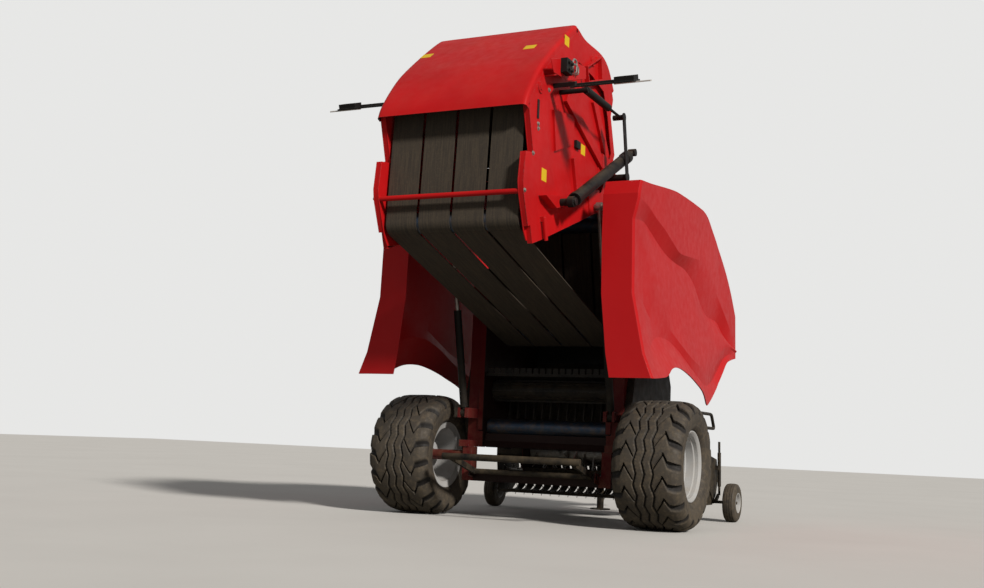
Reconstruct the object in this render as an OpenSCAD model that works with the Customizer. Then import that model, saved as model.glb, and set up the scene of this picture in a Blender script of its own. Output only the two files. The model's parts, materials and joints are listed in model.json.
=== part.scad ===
/* [Overall] */
// Distance from the part's origin back to the axle
axle_back = 650; // [600:5:700]
// Angle by which the tailgate stands open
gate_open = 70; // [0:1:70]

/* [Wheels] */
// Outer radius of the main tyres
tyre_r = 555; // [520:5:600]
// Width of the main tyres
tyre_w = 600; // [500:10:620]
// Distance of each main wheel's middle from the centre line
wheel_x = 1180; // [1170:5:1220]
// Radius of the rim flange
rim_r = 305; // [280:5:330]
// Radius of the gauge wheels
gauge_r = 190; // [180:5:220]
// Width of the gauge wheels
gauge_w = 120; // [90:5:140]

/* [Bale chamber] */
// Half width of the chamber between its side walls
wall_x = 610; // [600:5:620]
// Thickness of the side walls
wall_t = 10; // [6:1:12]
// Depth of the flanges that stand out from the side walls
flange_d = 40; // [30:1:45]
// Width of one belt
belt_w = 273; // [240:1:280]
// Space between two belts
belt_gap = 25; // [15:1:30]
// Thickness of the belts
belt_t = 8; // [6:1:10]
// Radius of the rollers that carry the belts
roller_r = 85; // [70:1:90]
// Thickness of folded sheet on hood and covers
sheet_t = 6; // [4:1:8]

/* [Side panels] */
// Thickness of the moulded side panels
panel_t = 12; // [8:1:16]
// Height of the panel hinges above the ground
hinge_z = 2950; // [2930:5:2960]
// Distance of the panel hinges from the centre line
hinge_x = 925; // [915:1:935]

/* [Drawbar] */
// Distance from the axle forward to the hitch eye
hitch_y = 3230; // [3100:10:3300]
// Height of the hitch eye
hitch_z = 520; // [480:10:560]
// Radius of the hitch eye's bore
hitch_bore_r = 25; // [20:1:30]
// Radius of the bore in the drive shaft's front yoke
yoke_bore_r = 17.5; // [15:0.5:20]

/* [Pick-up] */
// Half width of the pick-up between its side plates
pickup_x = 1100; // [1050:10:1120]
// Radius to the tips of the spring tines
tine_tip_r = 270; // [250:5:280]
// Running clearance of pins in their bores and of faces that seat
fit = 0.3; // [0.2:0.1:0.5]
// Number of tine bars on the reel
tine_bars = 5; // [4:1:6]
// Distance between two rows of tines
tine_pitch = 100; // [80:5:120]

/* [Hidden] */

$fn = 48;

// Places in the side view are [y, z], y forward from the axle and z up from the ground
axle_z = tyre_r;
wall_out = wall_x + wall_t;
flange_x = wall_out + flange_d;
belt_pitch = belt_w + belt_gap;
belts_x = 2 * belt_w + 1.5 * belt_gap;
gate_pivot = [267, 2750];
front_roller = [520, 1720];
low_roller = [-110, 690];
rear_roller = [-1080, 1105];
top_roller = [-1230, 2330];
starter_at = [335, 1182];
floor_at = [232, 836];
rotor_at = [1290, 600];
reel_at = [1800, 375];
lid_hinge = [1120, 2610];
kicker_pivot = [-115, 420];
kicker_bar = [-600, 550];
lift_base = [-80, 950];
lift_eye = [0, 2000];
lift_x = 722;
tension_x = 822;
gauge_at = [1310, 1900];
gauge_pin_r = 15;
frame_low = 640;
seat_x = wall_x - fit;

color_red = [0.72, 0.04, 0.07];
color_dark_red = [0.35, 0.03, 0.05];
color_black = [0.06, 0.06, 0.07];
color_rubber = [0.10, 0.10, 0.10];
color_steel = [0.55, 0.56, 0.58];
color_silver = [0.80, 0.81, 0.82];
color_blue_steel = [0.30, 0.38, 0.46];
color_white = [0.90, 0.90, 0.88];

// Stands a side-view outline up and gives it its place across the machine
module across(x0, x1) {
    translate([x0, 0, 0]) rotate([90, 0, 90]) linear_extrude(x1 - x0) children();
}

// Shaft, tube or boss that lies across the machine
module cross_rod(at, r, x0, x1) {
    translate([x0, at[0], at[1]]) rotate([0, 90, 0]) cylinder(r = r, h = x1 - x0);
}

// Round bar between two points in space
module round_bar(p, q, r) {
    d = q - p;
    translate(p) rotate([0, acos(d[2] / norm(d)), atan2(d[1], d[0])]) cylinder(r = r, h = norm(d));
}

// Flat bar of the side view from one point to the other, h high
module link(p, q, h) {
    d = q - p;
    translate(p) rotate(atan2(d[1], d[0])) translate([0, -h / 2]) square([norm(d), h]);
}

// Both halves of what is alike on the right and on the left
module both_sides() {
    children();
    mirror([1, 0, 0]) children();
}

// Swings what is drawn closed to where the open tailgate stands
module gate_pose() {
    translate([0, gate_pivot[0], gate_pivot[1]]) rotate([-gate_open, 0, 0])
        translate([0, -gate_pivot[0], -gate_pivot[1]]) children();
}

function swing(p, a) = [
    gate_pivot[0] + (p[0] - gate_pivot[0]) * cos(a) - (p[1] - gate_pivot[1]) * sin(a),
    gate_pivot[1] + (p[0] - gate_pivot[0]) * sin(a) + (p[1] - gate_pivot[1]) * cos(a)
];
function angle_of(d) = atan2(d[1], d[0]);

// Moves everything from the axle to the part's own origin
module placed() {
    translate([0, -axle_back, 0]) children();
}

/* Running gear */
module axle() {
    color(color_dark_red) {
        beam_z = 380;
        translate([-700, -60, beam_z - 50]) cube([1400, 120, 100]);
        both_sides() {
            translate([640, -60, beam_z - 50]) cube([90, 120, frame_low - beam_z + 50]);
            cross_rod([0, axle_z], hub_bore_r - fit, 700, wheel_x + 60);
            across(wall_x - 12, wall_x + 10) difference() {
                link([-55, 400], kicker_pivot - [35, 0], 90);
                translate(kicker_pivot) circle(r = kicker_pin_r + fit);
            }
        }
    }
}

hub_bore_r = 48;
kicker_pin_r = 24;
module tyre(x) {
    crown = 26;
    bead_w = tyre_w - 120;
    color(color_rubber) translate([x, 0, axle_z]) rotate([0, 90, 0]) rotate_extrude($fn = 96)
        polygon([
            [rim_r - 20, -bead_w / 2], [rim_r + 25, -tyre_w / 2 + 12], [(rim_r + tyre_r) / 2, -tyre_w / 2],
            [tyre_r - 60, -tyre_w / 2 + 14], [tyre_r - crown, -tyre_w / 2 + 45], [tyre_r, -tyre_w / 4],
            [tyre_r, tyre_w / 4], [tyre_r - crown, tyre_w / 2 - 45], [tyre_r - 60, tyre_w / 2 - 14],
            [(rim_r + tyre_r) / 2, tyre_w / 2], [rim_r + 25, tyre_w / 2 - 12], [rim_r - 20, bead_w / 2]
        ]);
}

module rim() {
    well_w = tyre_w - 120;
    wall = 12;
    disc_x = 40;
    color(color_silver) translate([wheel_x, 0, axle_z]) rotate([0, 90, 0]) {
        rotate_extrude($fn = 96) polygon([
            [rim_r - 36, -well_w / 2], [rim_r - 20 - fit, -well_w / 2], [rim_r - 20 - fit, well_w / 2],
            [rim_r - 36, well_w / 2], [rim_r - 36, disc_x + wall / 2], [120, disc_x + wall],
            [120, disc_x - wall], [rim_r - 36, disc_x - wall / 2]
        ]);
        rotate_extrude() polygon([[hub_bore_r, -90], [125, -90], [125, disc_x + 60], [hub_bore_r, disc_x + 60]]);
        translate([0, 0, disc_x + 60 - 1]) cylinder(r = 80, h = 30);
    }
}

/* Main frame */
frame_outline = [
    [90, 800], [90, 2560], [200, 2690], [200, 2840], [760, 2860], [1180, 2620], [1420, 2100],
    [1420, 1500], [1400, 1030], [1480, 740], [1290, 360], [1090, 460], [1010, 800]
];
gate_pin_r = 32;
pickup_pin_r = 30;
module frame_walls() {
    color(color_red) both_sides() {
        across(wall_x, wall_out) {
            polygon(frame_outline);
            translate(rotor_at) circle(r = 245);
            polygon(concat([rotor_at], arc(rotor_at, 280, 205, 327, 8)));
        }
        across(wall_out - 1, flange_x) {
            link([98, 800], [98, 2300], 16);
            link([760, 2852], [1180, 2612], 16);
            link([1180, 2612], [1412, 2100], 16);
        }
        cross_rod(gate_pivot, gate_pin_r, wall_out - 1, flange_x + 20);
        cross_rod(rotor_at, pickup_pin_r, wall_out - 1, wall_out + 45);
    }
}

lift_pin_r = 20;
module chassis() {
    color(color_dark_red) {
        both_sides() {
            translate([flange_x, 106, frame_low + fit]) cube([110, 144, 1700]);
            translate([wall_x, 106, frame_low + fit]) cube([flange_d + 20, 60, 150]);
            translate([flange_x + 8, -70, frame_low + fit]) cube([102, 240, 60]);
            across(lift_x - 58, lift_x - 26) link([110, 950], lift_base - [45, 0], 90);
            across(lift_x + 26, lift_x + 48) link([110, 950], lift_base - [45, 0], 90);
            cross_rod(lift_base, lift_pin_r, lift_x - 58, lift_x + 48);
            translate([wall_out, 106, 710]) cube([80, 870, 80]);
        }
        translate([-wall_out, 200, frame_low + fit]) cube([2 * wall_out, 90, 100]);
    }
}

module chamber_front() {
    skin = [[1240, 1400], [1340, 1520], [1340, 2080], [1120, 2560], [740, 2800]];
    color(color_black) across(-seat_x, seat_x)
        for (i = [0 : len(skin) - 2]) link(skin[i], skin[i + 1], sheet_t);
}

module net_box_lid() {
    skin = [[1130, 2700], [1240, 2720], [1430, 2620], [1640, 2100], [1610, 1600], [1480, 1610]];
    lid_x = wall_x - 45;
    color(color_red) {
        across(-lid_x, lid_x) for (i = [0 : len(skin) - 2]) link(skin[i], skin[i + 1], sheet_t);
        both_sides() across(lid_x - 6, lid_x)
            polygon(concat(skin, [[1440, 1640], [1440, 2110], [1190, 2570], [1110, 2580]]));
        cross_rod(lid_hinge, 16, -seat_x, seat_x);
    }
}

jack_at = [-330, 2560];
// Sections of one drawbar beam as [inner face, y, lower face]
drawbar_sections = [[430, 1150, 900], [225, 2150, 806], [30, hitch_y - 260, hitch_z - 10]];
drawbar_size = [90, 60, 112];
module drawbar() {
    color(color_dark_red) {
        both_sides() for (i = [0 : len(drawbar_sections) - 2]) hull() {
            translate(drawbar_sections[i]) cube(drawbar_size);
            translate(drawbar_sections[i + 1]) cube(drawbar_size);
        }
        translate([-seat_x, 1150, 900]) cube([2 * seat_x, 90, 120]);
        translate([-110, hitch_y - 330, hitch_z - 10]) cube([220, 190, 110]);
        translate([jack_at[0] + 50 + fit, jack_at[1] - 40, 660]) cube([150, 80, 80]);
    }
}

module hitch() {
    color(color_steel) {
        translate([-45, hitch_y - 140 + fit, hitch_z]) cube([90, 105, 60]);
        difference() {
            translate([0, hitch_y, hitch_z + 5]) cylinder(r = 62, h = 50);
            translate([0, hitch_y, hitch_z - 5]) cylinder(r = hitch_bore_r, h = 70);
        }
    }
}

module jack() {
    color(color_black) translate([jack_at[0], jack_at[1], 0]) {
        cylinder(r = 110, h = 14);
        cylinder(r = 38, h = 500);
        translate([0, 0, 330]) cylinder(r = 50, h = 620);
        translate([0, 0, 900]) rotate([0, 90, 180]) cylinder(r = 12, h = 190);
    }
}

pto_rear = [0, 1500, 1130];
pto_front = [0, hitch_y - 130, 800];
pto_dir = (pto_front - pto_rear) / norm(pto_front - pto_rear);
module gearbox() {
    color(color_black) {
        translate([-170, 1160, 1020 + fit]) cube([340, 260, 230]);
        round_bar(pto_rear - 120 * pto_dir, pto_rear - fit * pto_dir, 60);
        cross_rod([1290, 1140], 45, -seat_x, seat_x);
    }
}

module drive_covers() {
    color(color_black) both_sides() across(flange_x + 110 + fit, flange_x + 176) polygon([
        [200, 760], [130, 1000], [260, 1500], [420, 2000], [900, 2000], [1300, 1300], [1300, 800], [1100, 620]
    ]);
}

module guard_rails() {
    rail_x = 1100;
    color(color_black) both_sides() {
        round_bar([rail_x, 720, 1060], [rail_x, 1850, 1060], 16);
        translate([rail_x, 1850, 1060]) sphere(r = 18.5);
        round_bar([rail_x, 1850, 1060], [rail_x, 1930, 920], 16);
        translate([rail_x, 1930, 920]) sphere(r = 18.5);
        round_bar([rail_x, 820, 920], [rail_x, 1930, 920], 16);
        for (z = [920, 1060]) round_bar([flange_x + 176 + fit, 900, z], [rail_x, 900, z], 13);
    }
}

module feed_housing() {
    color(color_black) across(-seat_x, seat_x) for (i = [0 : 4]) {
        a0 = 215 + i * 22;
        link(rotor_at + 262 * [cos(a0), sin(a0)], rotor_at + 262 * [cos(a0 + 22.5), sin(a0 + 22.5)], 8);
    }
}

/* Rollers, rotor and belts in the frame */
module frame_rollers() {
    color(color_blue_steel) {
        cross_rod(front_roller, roller_r, -belts_x, belts_x);
        cross_rod(front_roller, 30, -seat_x, seat_x);
        cross_rod(gate_pivot, roller_r - 5, -belts_x, belts_x);
        cross_rod(gate_pivot, 30, -seat_x, seat_x);
    }
}

module belt_run(points) {
    for (k = [-1.5 : 1 : 1.5])
        across(k * belt_pitch - belt_w / 2, k * belt_pitch + belt_w / 2)
            for (i = [0 : len(points) - 2]) link(points[i], points[i + 1], belt_t);
}

function arc(c, r, a0, a1, n) = [for (i = [0 : n]) let (a = a0 + (a1 - a0) * i / n) c + r * [cos(a), sin(a)]];
// Like arc, with its straight pieces outside the radius, so that a belt lies on its roller
function wrap(c, r, a0, a1, n) = arc(c, r / cos((a1 - a0) / n / 2), a0, a1, n);

belt_r = roller_r + belt_t / 2 + fit;
low_open = swing(low_roller, -gate_open);
run_angle = angle_of(front_roller - low_open);

module frame_belts() {
    color(color_rubber) belt_run(concat(
        [gate_pivot + belt_r * [cos(12), sin(12)]],
        wrap(front_roller, belt_r, 12, run_angle - 82, 8)
    ));
}

module crossing_belts() {
    color(color_rubber) belt_run([
        low_open + belt_r * [cos(run_angle - 90), sin(run_angle - 90)],
        front_roller + belt_r * [cos(run_angle - 90), sin(run_angle - 90)]
    ]);
}

module starter_roller() {
    color(color_black) {
        cross_rod(starter_at, 88, -wall_x + 8, wall_x - 8);
        for (a = [0 : 45 : 315])
            translate([0, starter_at[0], starter_at[1]]) rotate([a, 0, 0])
                translate([-wall_x + 8, -6, 80]) cube([2 * wall_x - 16, 12, 22]);
        cross_rod(starter_at, 28, -seat_x, seat_x);
    }
}

module floor_roller() {
    color(color_blue_steel) {
        cross_rod(floor_at, 72, -wall_x + 8, wall_x - 8);
        cross_rod(floor_at, 25, -seat_x, seat_x);
    }
}

module feed_rotor() {
    color(color_steel) {
        cross_rod(rotor_at, 90, -wall_x + 8, wall_x - 8);
        cross_rod(rotor_at, 30, -seat_x, seat_x);
        for (i = [-6 : 6], a = [0, 120, 240])
            translate([i * 88 - 6, rotor_at[0], rotor_at[1]]) rotate([a + i * 20, 0, 0])
                rotate([90, 0, 90]) linear_extrude(12) polygon([[-60, 60], [60, 60], [-30, 235]]);
    }
}

hinge_pin_r = 12;
module panel_arms() {
    color(color_black) both_sides() for (y = [450, 1050]) {
        translate([0, y + 20, 0]) rotate([90, 0, 0]) linear_extrude(40) difference() {
            union() {
                polygon([
                    [wall_out, 2480], [hinge_x + 8, hinge_z - 24], [hinge_x - 8, hinge_z + 24], [wall_out, 2590]
                ]);
                translate([hinge_x, hinge_z]) circle(r = 26);
            }
            translate([hinge_x, hinge_z]) circle(r = hinge_pin_r + fit);
        }
    }
}

module pto_shaft() {
    d = pto_front - pto_rear;
    color(color_black) {
        round_bar(pto_rear, pto_front, 45);
        round_bar(pto_rear, pto_rear + 0.12 * d, 75);
        round_bar(pto_rear + 0.86 * d, pto_rear + 0.95 * d, 75);
    }
    color(color_steel) difference() {
        round_bar(pto_front - 5 * pto_dir, pto_front + 90 * pto_dir, 38);
        round_bar(pto_front, pto_front + 95 * pto_dir, yoke_bore_r);
    }
}

/* Tailgate, drawn closed and swung to its open place */
hood_line = [
    [-978, 788], [-1056, 864], [-1174, 1038], [-1294, 1267], [-1436, 1660], [-1535, 1985], [-1530, 2060],
    [-1420, 2235], [-1285, 2595], [-1150, 2750], [-949, 2832]
];
gate_outline = concat(
    [[80, 830], [50, 626], [-30, 600], [-337, 585], [-420, 600], [-628, 706], [-600, 840], [-940, 850]],
    [for (p = hood_line) if (p[1] > 850) p],
    [[-721, 2669], [-370, 2676], [67, 2198]]
);

module hood_profile(thick) {
    for (i = [0 : len(hood_line) - 2]) link(hood_line[i], hood_line[i + 1], thick);
}

lift_bracket_x = flange_x + 16;
module gate_sides() {
    gate_pose() color(color_red) both_sides() {
        across(wall_x, wall_out) intersection() {
            polygon(gate_outline);
            offset(delta = -sheet_t / 2 - fit) polygon(concat(hood_line, [[1000, 2832], [1000, 0], [-978, 0]]));
        }
        across(wall_out - 1, flange_x) {
            link([72, 840], [60, 2190], 14);
            link([60, 2190], [-370, 2668], 14);
            link([-340, 600], [-610, 700], 14);
            link([-560, 1150], [-1000, 1200], 14);
            link([-1000, 1200], [-1250, 1900], 14);
            link([-1250, 1900], [-900, 2640], 14);
            link([-308, 1160], [-560, 1150], 14);
            link([40, 668], [-308, 1160], 14);
        }
        across(wall_out + 6, wall_out + 32) difference() {
            union() {
                polygon([[-420, 2380], [-300, 2640], [240, 2818], [310, 2700], [-60, 2330]]);
                translate(gate_pivot) circle(r = 72);
            }
            translate(gate_pivot) circle(r = gate_pin_r + fit);
        }
        across(wall_out - 1, wall_out + 7) polygon([[-420, 2380], [-340, 2600], [-60, 2320], [-160, 2250]]);
        across(flange_x - 1, lift_bracket_x)
            polygon([[62, 1880], [62, 2120], [-120, 2160], [-160, 1900]]);
    }
}

module gate_hood() {
    gate_pose() color(color_red) across(-flange_x, flange_x) hood_profile(sheet_t);
}

module gate_bar() {
    gate_pose() color(color_red) cross_rod([-337, 608], 21, -seat_x, seat_x);
}

module gate_rollers() {
    gate_pose() color(color_blue_steel) for (at = [low_roller, rear_roller, top_roller]) {
        cross_rod(at, roller_r, -belts_x, belts_x);
        cross_rod(at, 28, -seat_x, seat_x);
    }
}

module gate_belts() {
    out_angle = angle_of(rear_roller - low_roller) + 90;
    up_angle = angle_of(top_roller - rear_roller) + 90;
    top_angle = 97;
    gate_pose() color(color_rubber) belt_run(concat(
        wrap(low_roller, belt_r, 262, out_angle, 6),
        wrap(rear_roller, belt_r, out_angle, up_angle, 4),
        wrap(top_roller, belt_r, up_angle, top_angle, 4),
        [gate_pivot + belt_r * [cos(105), sin(105)]]
    ));
}

lever_top = [-740, 2430];
lever_low = [-82, 2390];
tension_low = [-166, 1123];
tension_high = [-379, 2701];
module tension_levers() {
    gate_pose() color(color_black) both_sides() {
        across(tension_x + 48, tension_x + 66) link(lever_top, lever_low, 70);
        cross_rod(lever_low, 30, flange_x + fit, tension_x + 66);
        cross_rod(lever_top, 24, tension_x - 40, tension_x + 66);
    }
}

module tension_cylinders() {
    d = tension_high - tension_low;
    gate_pose() color(color_black) both_sides() {
        round_bar([tension_x, tension_low[0], tension_low[1]],
            [tension_x, tension_low[0] + 0.72 * d[0], tension_low[1] + 0.72 * d[1]], 43);
        round_bar([tension_x, tension_low[0] + 0.7 * d[0], tension_low[1] + 0.7 * d[1]],
            [tension_x, tension_high[0], tension_high[1]], 22);
        cross_rod(tension_low, 30, wall_out + fit, tension_x + 45);
        cross_rod(tension_high, 34, tension_x - 35, tension_x + 35);
    }
}

module light_boards() {
    gate_pose() both_sides() {
        color(color_red) translate([flange_x + fit, -1089, 1380]) cube([190, 30, 60]);
        color(color_white) translate([wall_out + 160, -1100, 1330]) cube([640, 12, 150]);
        color(color_black) translate([1180, -1089, 1350]) cube([240, 50, 110]);
    }
}

/* Lift cylinders of the tailgate */
lift_open = swing(lift_eye, -gate_open);
lift_dir = (lift_open - lift_base) / norm(lift_open - lift_base);
lift_along = [0, lift_dir[0], lift_dir[1]];
lift_rod_r = 20;
lift_eye_w = 48;
module lift_barrel() {
    base = [lift_x, lift_base[0], lift_base[1]];
    color(color_black) difference() {
        union() {
            round_bar(base + 60 * lift_along, base + 960 * lift_along, 35);
            round_bar(base, base + 62 * lift_along, 22);
            cross_rod(lift_base, 38, lift_x - lift_eye_w / 2, lift_x + lift_eye_w / 2);
        }
        cross_rod(lift_base, lift_pin_r + fit, lift_x - lift_eye_w, lift_x + lift_eye_w);
        round_bar(base + 100 * lift_along, base + 970 * lift_along, lift_rod_r + fit);
    }
}

// The pin ends just short of the gate's bracket, because the rod's eye is where the linkage opens
module lift_rod() {
    eye = [lift_x, lift_open[0], lift_open[1]];
    color(color_steel) {
        round_bar(eye - 940 * lift_along, eye - 20 * lift_along, lift_rod_r);
        cross_rod(lift_open, 36, lift_x - lift_eye_w / 2, lift_x + lift_eye_w / 2);
        cross_rod(lift_open, lift_pin_r, lift_bracket_x + 2, lift_x + lift_eye_w / 2 + 18);
    }
}

/* Side panels */
panel_top = [[-890, 2867], [11, 2978], [1093, 2991], [1591, 2802], [2190, 2270]];
panel_low = [[-890, 1240], [-300, 1365], [300, 1365], [900, 1125], [1580, 1440], [2190, 1740]];
rear_profile = [[1240, 1374], [1543, 1266], [1751, 1209], [1975, 1188], [2455, 1181], [2723, 1218], [2990, 1224]];
return_edge = [[1240, 1006], [1613, 942], [2037, 913], [2867, 910]];
panel_rows = 10;
panel_cols = 22;
panel_rear = -890;
panel_front = 2190;
return_y = -940;
top_in = 945;

function panel_x(y, z) = let (w = min(1, max(0, (y + 200) / 1900)))
    lookup(z, rear_profile) * (1 - w) + (1215 - 60 * w * w - 0.02 * (z - 1700)) * w;

// Point of the shell: columns 0 and 1 are the folded rear edge, the rest run forward, the last row is the top edge
function panel_point(i, j, t) = let (
        y = i < 2 ? return_y : panel_rear + (panel_front - panel_rear) * (i - 2) / panel_cols,
        low = lookup(y, panel_low),
        high = lookup(y, panel_top),
        top = j == panel_rows,
        z = low + (high - low) * min(1, j / (panel_rows - 1)),
        x = top ? top_in : i == 0 ? lookup(z, return_edge) : panel_x(y, z) - (i == 1 ? 45 : 0)
    ) [top && i == 0 ? top_in - 20 : x - (top || i == 0 ? 0 : t), y + (i < 2 ? t : 0),
        z - (j >= panel_rows - 1 ? t : 0)];

module shell_panel() {
    rows = panel_rows + 1;
    cols = panel_cols + 3;
    n = rows * cols;
    function at(i, j, k) = k * n + i * rows + j;
    polyhedron(
        [for (t = [0, panel_t], i = [0 : cols - 1], j = [0 : rows - 1]) panel_point(i, j, t)],
        concat(
            [for (i = [0 : cols - 2], j = [0 : rows - 2]) each [
                [at(i, j, 0), at(i, j + 1, 0), at(i + 1, j + 1, 0)],
                [at(i, j, 0), at(i + 1, j + 1, 0), at(i + 1, j, 0)],
                [at(i, j, 1), at(i + 1, j + 1, 1), at(i, j + 1, 1)],
                [at(i, j, 1), at(i + 1, j, 1), at(i + 1, j + 1, 1)]
            ]],
            [for (i = [0 : cols - 2]) each [
                [at(i, 0, 0), at(i + 1, 0, 0), at(i + 1, 0, 1)],
                [at(i, 0, 0), at(i + 1, 0, 1), at(i, 0, 1)],
                [at(i, rows - 1, 0), at(i, rows - 1, 1), at(i + 1, rows - 1, 1)],
                [at(i, rows - 1, 0), at(i + 1, rows - 1, 1), at(i + 1, rows - 1, 0)]
            ]],
            [for (j = [0 : rows - 2]) each [
                [at(0, j, 0), at(0, j, 1), at(0, j + 1, 1)],
                [at(0, j, 0), at(0, j + 1, 1), at(0, j + 1, 0)],
                [at(cols - 1, j, 0), at(cols - 1, j + 1, 0), at(cols - 1, j + 1, 1)],
                [at(cols - 1, j, 0), at(cols - 1, j + 1, 1), at(cols - 1, j, 1)]
            ]]
        )
    );
}

module side_panel() {
    color(color_red) {
        shell_panel();
        for (y = [470, 1070]) {
            translate([0, y + 11, 0]) rotate([90, 0, 0]) linear_extrude(11 - fit) polygon([
                [hinge_x - 16, hinge_z - 16], [hinge_x - 16, hinge_z + 16], [1000, 2976], [1000, 2900]
            ]);
            translate([hinge_x, y - 42, hinge_z]) rotate([-90, 0, 0]) cylinder(r = hinge_pin_r, h = 50);
        }
    }
}

/* Pick-up */
plate_in = pickup_x + 8;
plate_out = plate_in + 10;
arm_x = [wall_out + 20, wall_out + 40];

function by_reel(y, z) = reel_at + [y, z];

module band_outline(r) {
    translate(reel_at) circle(r = r);
    translate(by_reel(-250, -r)) square([250, 2 * r]);
}

module pickup_frame() {
    bands = floor(2 * pickup_x / tine_pitch) - 1;
    color(color_black) {
        both_sides() {
            across(plate_in, plate_out) polygon([
                by_reel(-300, 265), by_reel(-170, 290), by_reel(210, 235), by_reel(270, 60),
                by_reel(200, -120), by_reel(60, -215), by_reel(-230, -215), by_reel(-300, 180)
            ]);
            across(arm_x[0], arm_x[1]) difference() {
                union() {
                    link(rotor_at, by_reel(-275, 225), 90);
                    translate(rotor_at) circle(r = 60);
                }
                translate(rotor_at) circle(r = pickup_pin_r + fit);
            }
            translate([arm_x[0], reel_at[0] - 300, reel_at[1] + 200]) cube([plate_in + 1 - arm_x[0], 50, 60]);
            across(plate_out - 1, plate_out + 12) link(by_reel(-40, -60), [gauge_at[1], gauge_r], 50);
            cross_rod([gauge_at[1], gauge_r], gauge_pin_r, plate_out, gauge_at[0] + gauge_w / 2 - 10);
        }
        translate([-plate_in - 1, reel_at[0] - 252, reel_at[1] + 174]) cube([2 * plate_in + 2, 30, 26]);
        translate([-plate_in - 1, reel_at[0] - 252, reel_at[1] - 200]) cube([2 * plate_in + 2, 30, 26]);
    }
    color(color_red) for (i = [0 : bands - 1])
        translate([-pickup_x + (i + 0.5) * tine_pitch + 10, 0, 0]) across(0, tine_pitch - 20) difference() {
            band_outline(175);
            translate([-2, 0]) band_outline(170);
        }
}

module wind_guard() {
    color(color_black) {
        cross_rod(by_reel(250, 185), 30, -plate_in + 8, plate_in - 8);
        both_sides() across(plate_in - 12, plate_in - fit) link(by_reel(-200, 185), by_reel(250, 185), 50);
    }
}

module pickup_reel() {
    rows = floor(2 * pickup_x / tine_pitch) - 1;
    bar_at = 120;
    color(color_steel) {
        cross_rod(reel_at, 35, -plate_in + fit, plate_in - fit);
        translate([0, reel_at[0], reel_at[1]]) for (k = [0 : tine_bars - 1]) rotate([k * 360 / tine_bars, 0, 0]) {
            translate([-pickup_x + 10, 0, bar_at]) rotate([0, 90, 0]) cylinder(r = 14, h = 2 * pickup_x - 20);
            for (i = [0 : rows]) translate([-pickup_x + (i + 0.5) * tine_pitch, 0, bar_at])
                cylinder(r = 4, h = tine_tip_r - bar_at, $fn = 6);
            for (s = [-1, 0, 1]) translate([s * (pickup_x - 40) - 5, -20, 0]) cube([10, 40, bar_at]);
        }
    }
}

module gauge_wheel() {
    bore = gauge_pin_r + fit;
    translate([gauge_at[0], gauge_at[1], gauge_r]) rotate([0, 90, 0]) {
        color(color_rubber) rotate_extrude() polygon([
            [110, -gauge_w / 2], [gauge_r, -gauge_w / 2 + 20], [gauge_r, gauge_w / 2 - 20], [110, gauge_w / 2]
        ]);
        color(color_white) rotate_extrude() polygon([
            [bore, -gauge_w / 2 + 5], [111, -gauge_w / 2 + 5], [111, gauge_w / 2 - 5], [bore, gauge_w / 2 - 5]
        ]);
    }
}

module kicker() {
    color(color_black) {
        cross_rod(kicker_bar, 30, -650, 650);
        both_sides() across(560, 590) link(kicker_bar, kicker_pivot, 50);
        cross_rod(kicker_pivot, kicker_pin_r, -wall_x - 6, wall_x + 6);
    }
}

placed() axle();
placed() frame_walls();
placed() chassis();
placed() chamber_front();
placed() drawbar();
placed() hitch();
placed() jack();
placed() gearbox();
placed() drive_covers();
placed() guard_rails();
placed() feed_housing();
placed() frame_rollers();
placed() frame_belts();
placed() crossing_belts();
placed() panel_arms();
placed() net_box_lid();
placed() pto_shaft();
placed() starter_roller();
placed() floor_roller();
placed() feed_rotor();
placed() gate_sides();
placed() gate_hood();
placed() gate_bar();
placed() gate_rollers();
placed() gate_belts();
placed() tension_levers();
placed() tension_cylinders();
placed() light_boards();
placed() lift_barrel();  // lift_barrel_right
placed() mirror([1, 0, 0]) lift_barrel();  // lift_barrel_left
placed() lift_rod();  // lift_rod_right
placed() mirror([1, 0, 0]) lift_rod();  // lift_rod_left
placed() side_panel();  // side_panel_right
placed() mirror([1, 0, 0]) side_panel();  // side_panel_left
placed() tyre(wheel_x);  // tyre_right
placed() tyre(-wheel_x);  // tyre_left
placed() rim();  // rim_right
placed() mirror([1, 0, 0]) rim();  // rim_left
placed() pickup_frame();
placed() wind_guard();
placed() pickup_reel();
placed() gauge_wheel();  // gauge_wheel_right
placed() mirror([1, 0, 0]) gauge_wheel();  // gauge_wheel_left
placed() kicker();
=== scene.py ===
"""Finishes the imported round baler: paint, rubber and steel, tyres, panels, hood, tailgate, belts and fittings,
and the floor, light and camera."""

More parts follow.
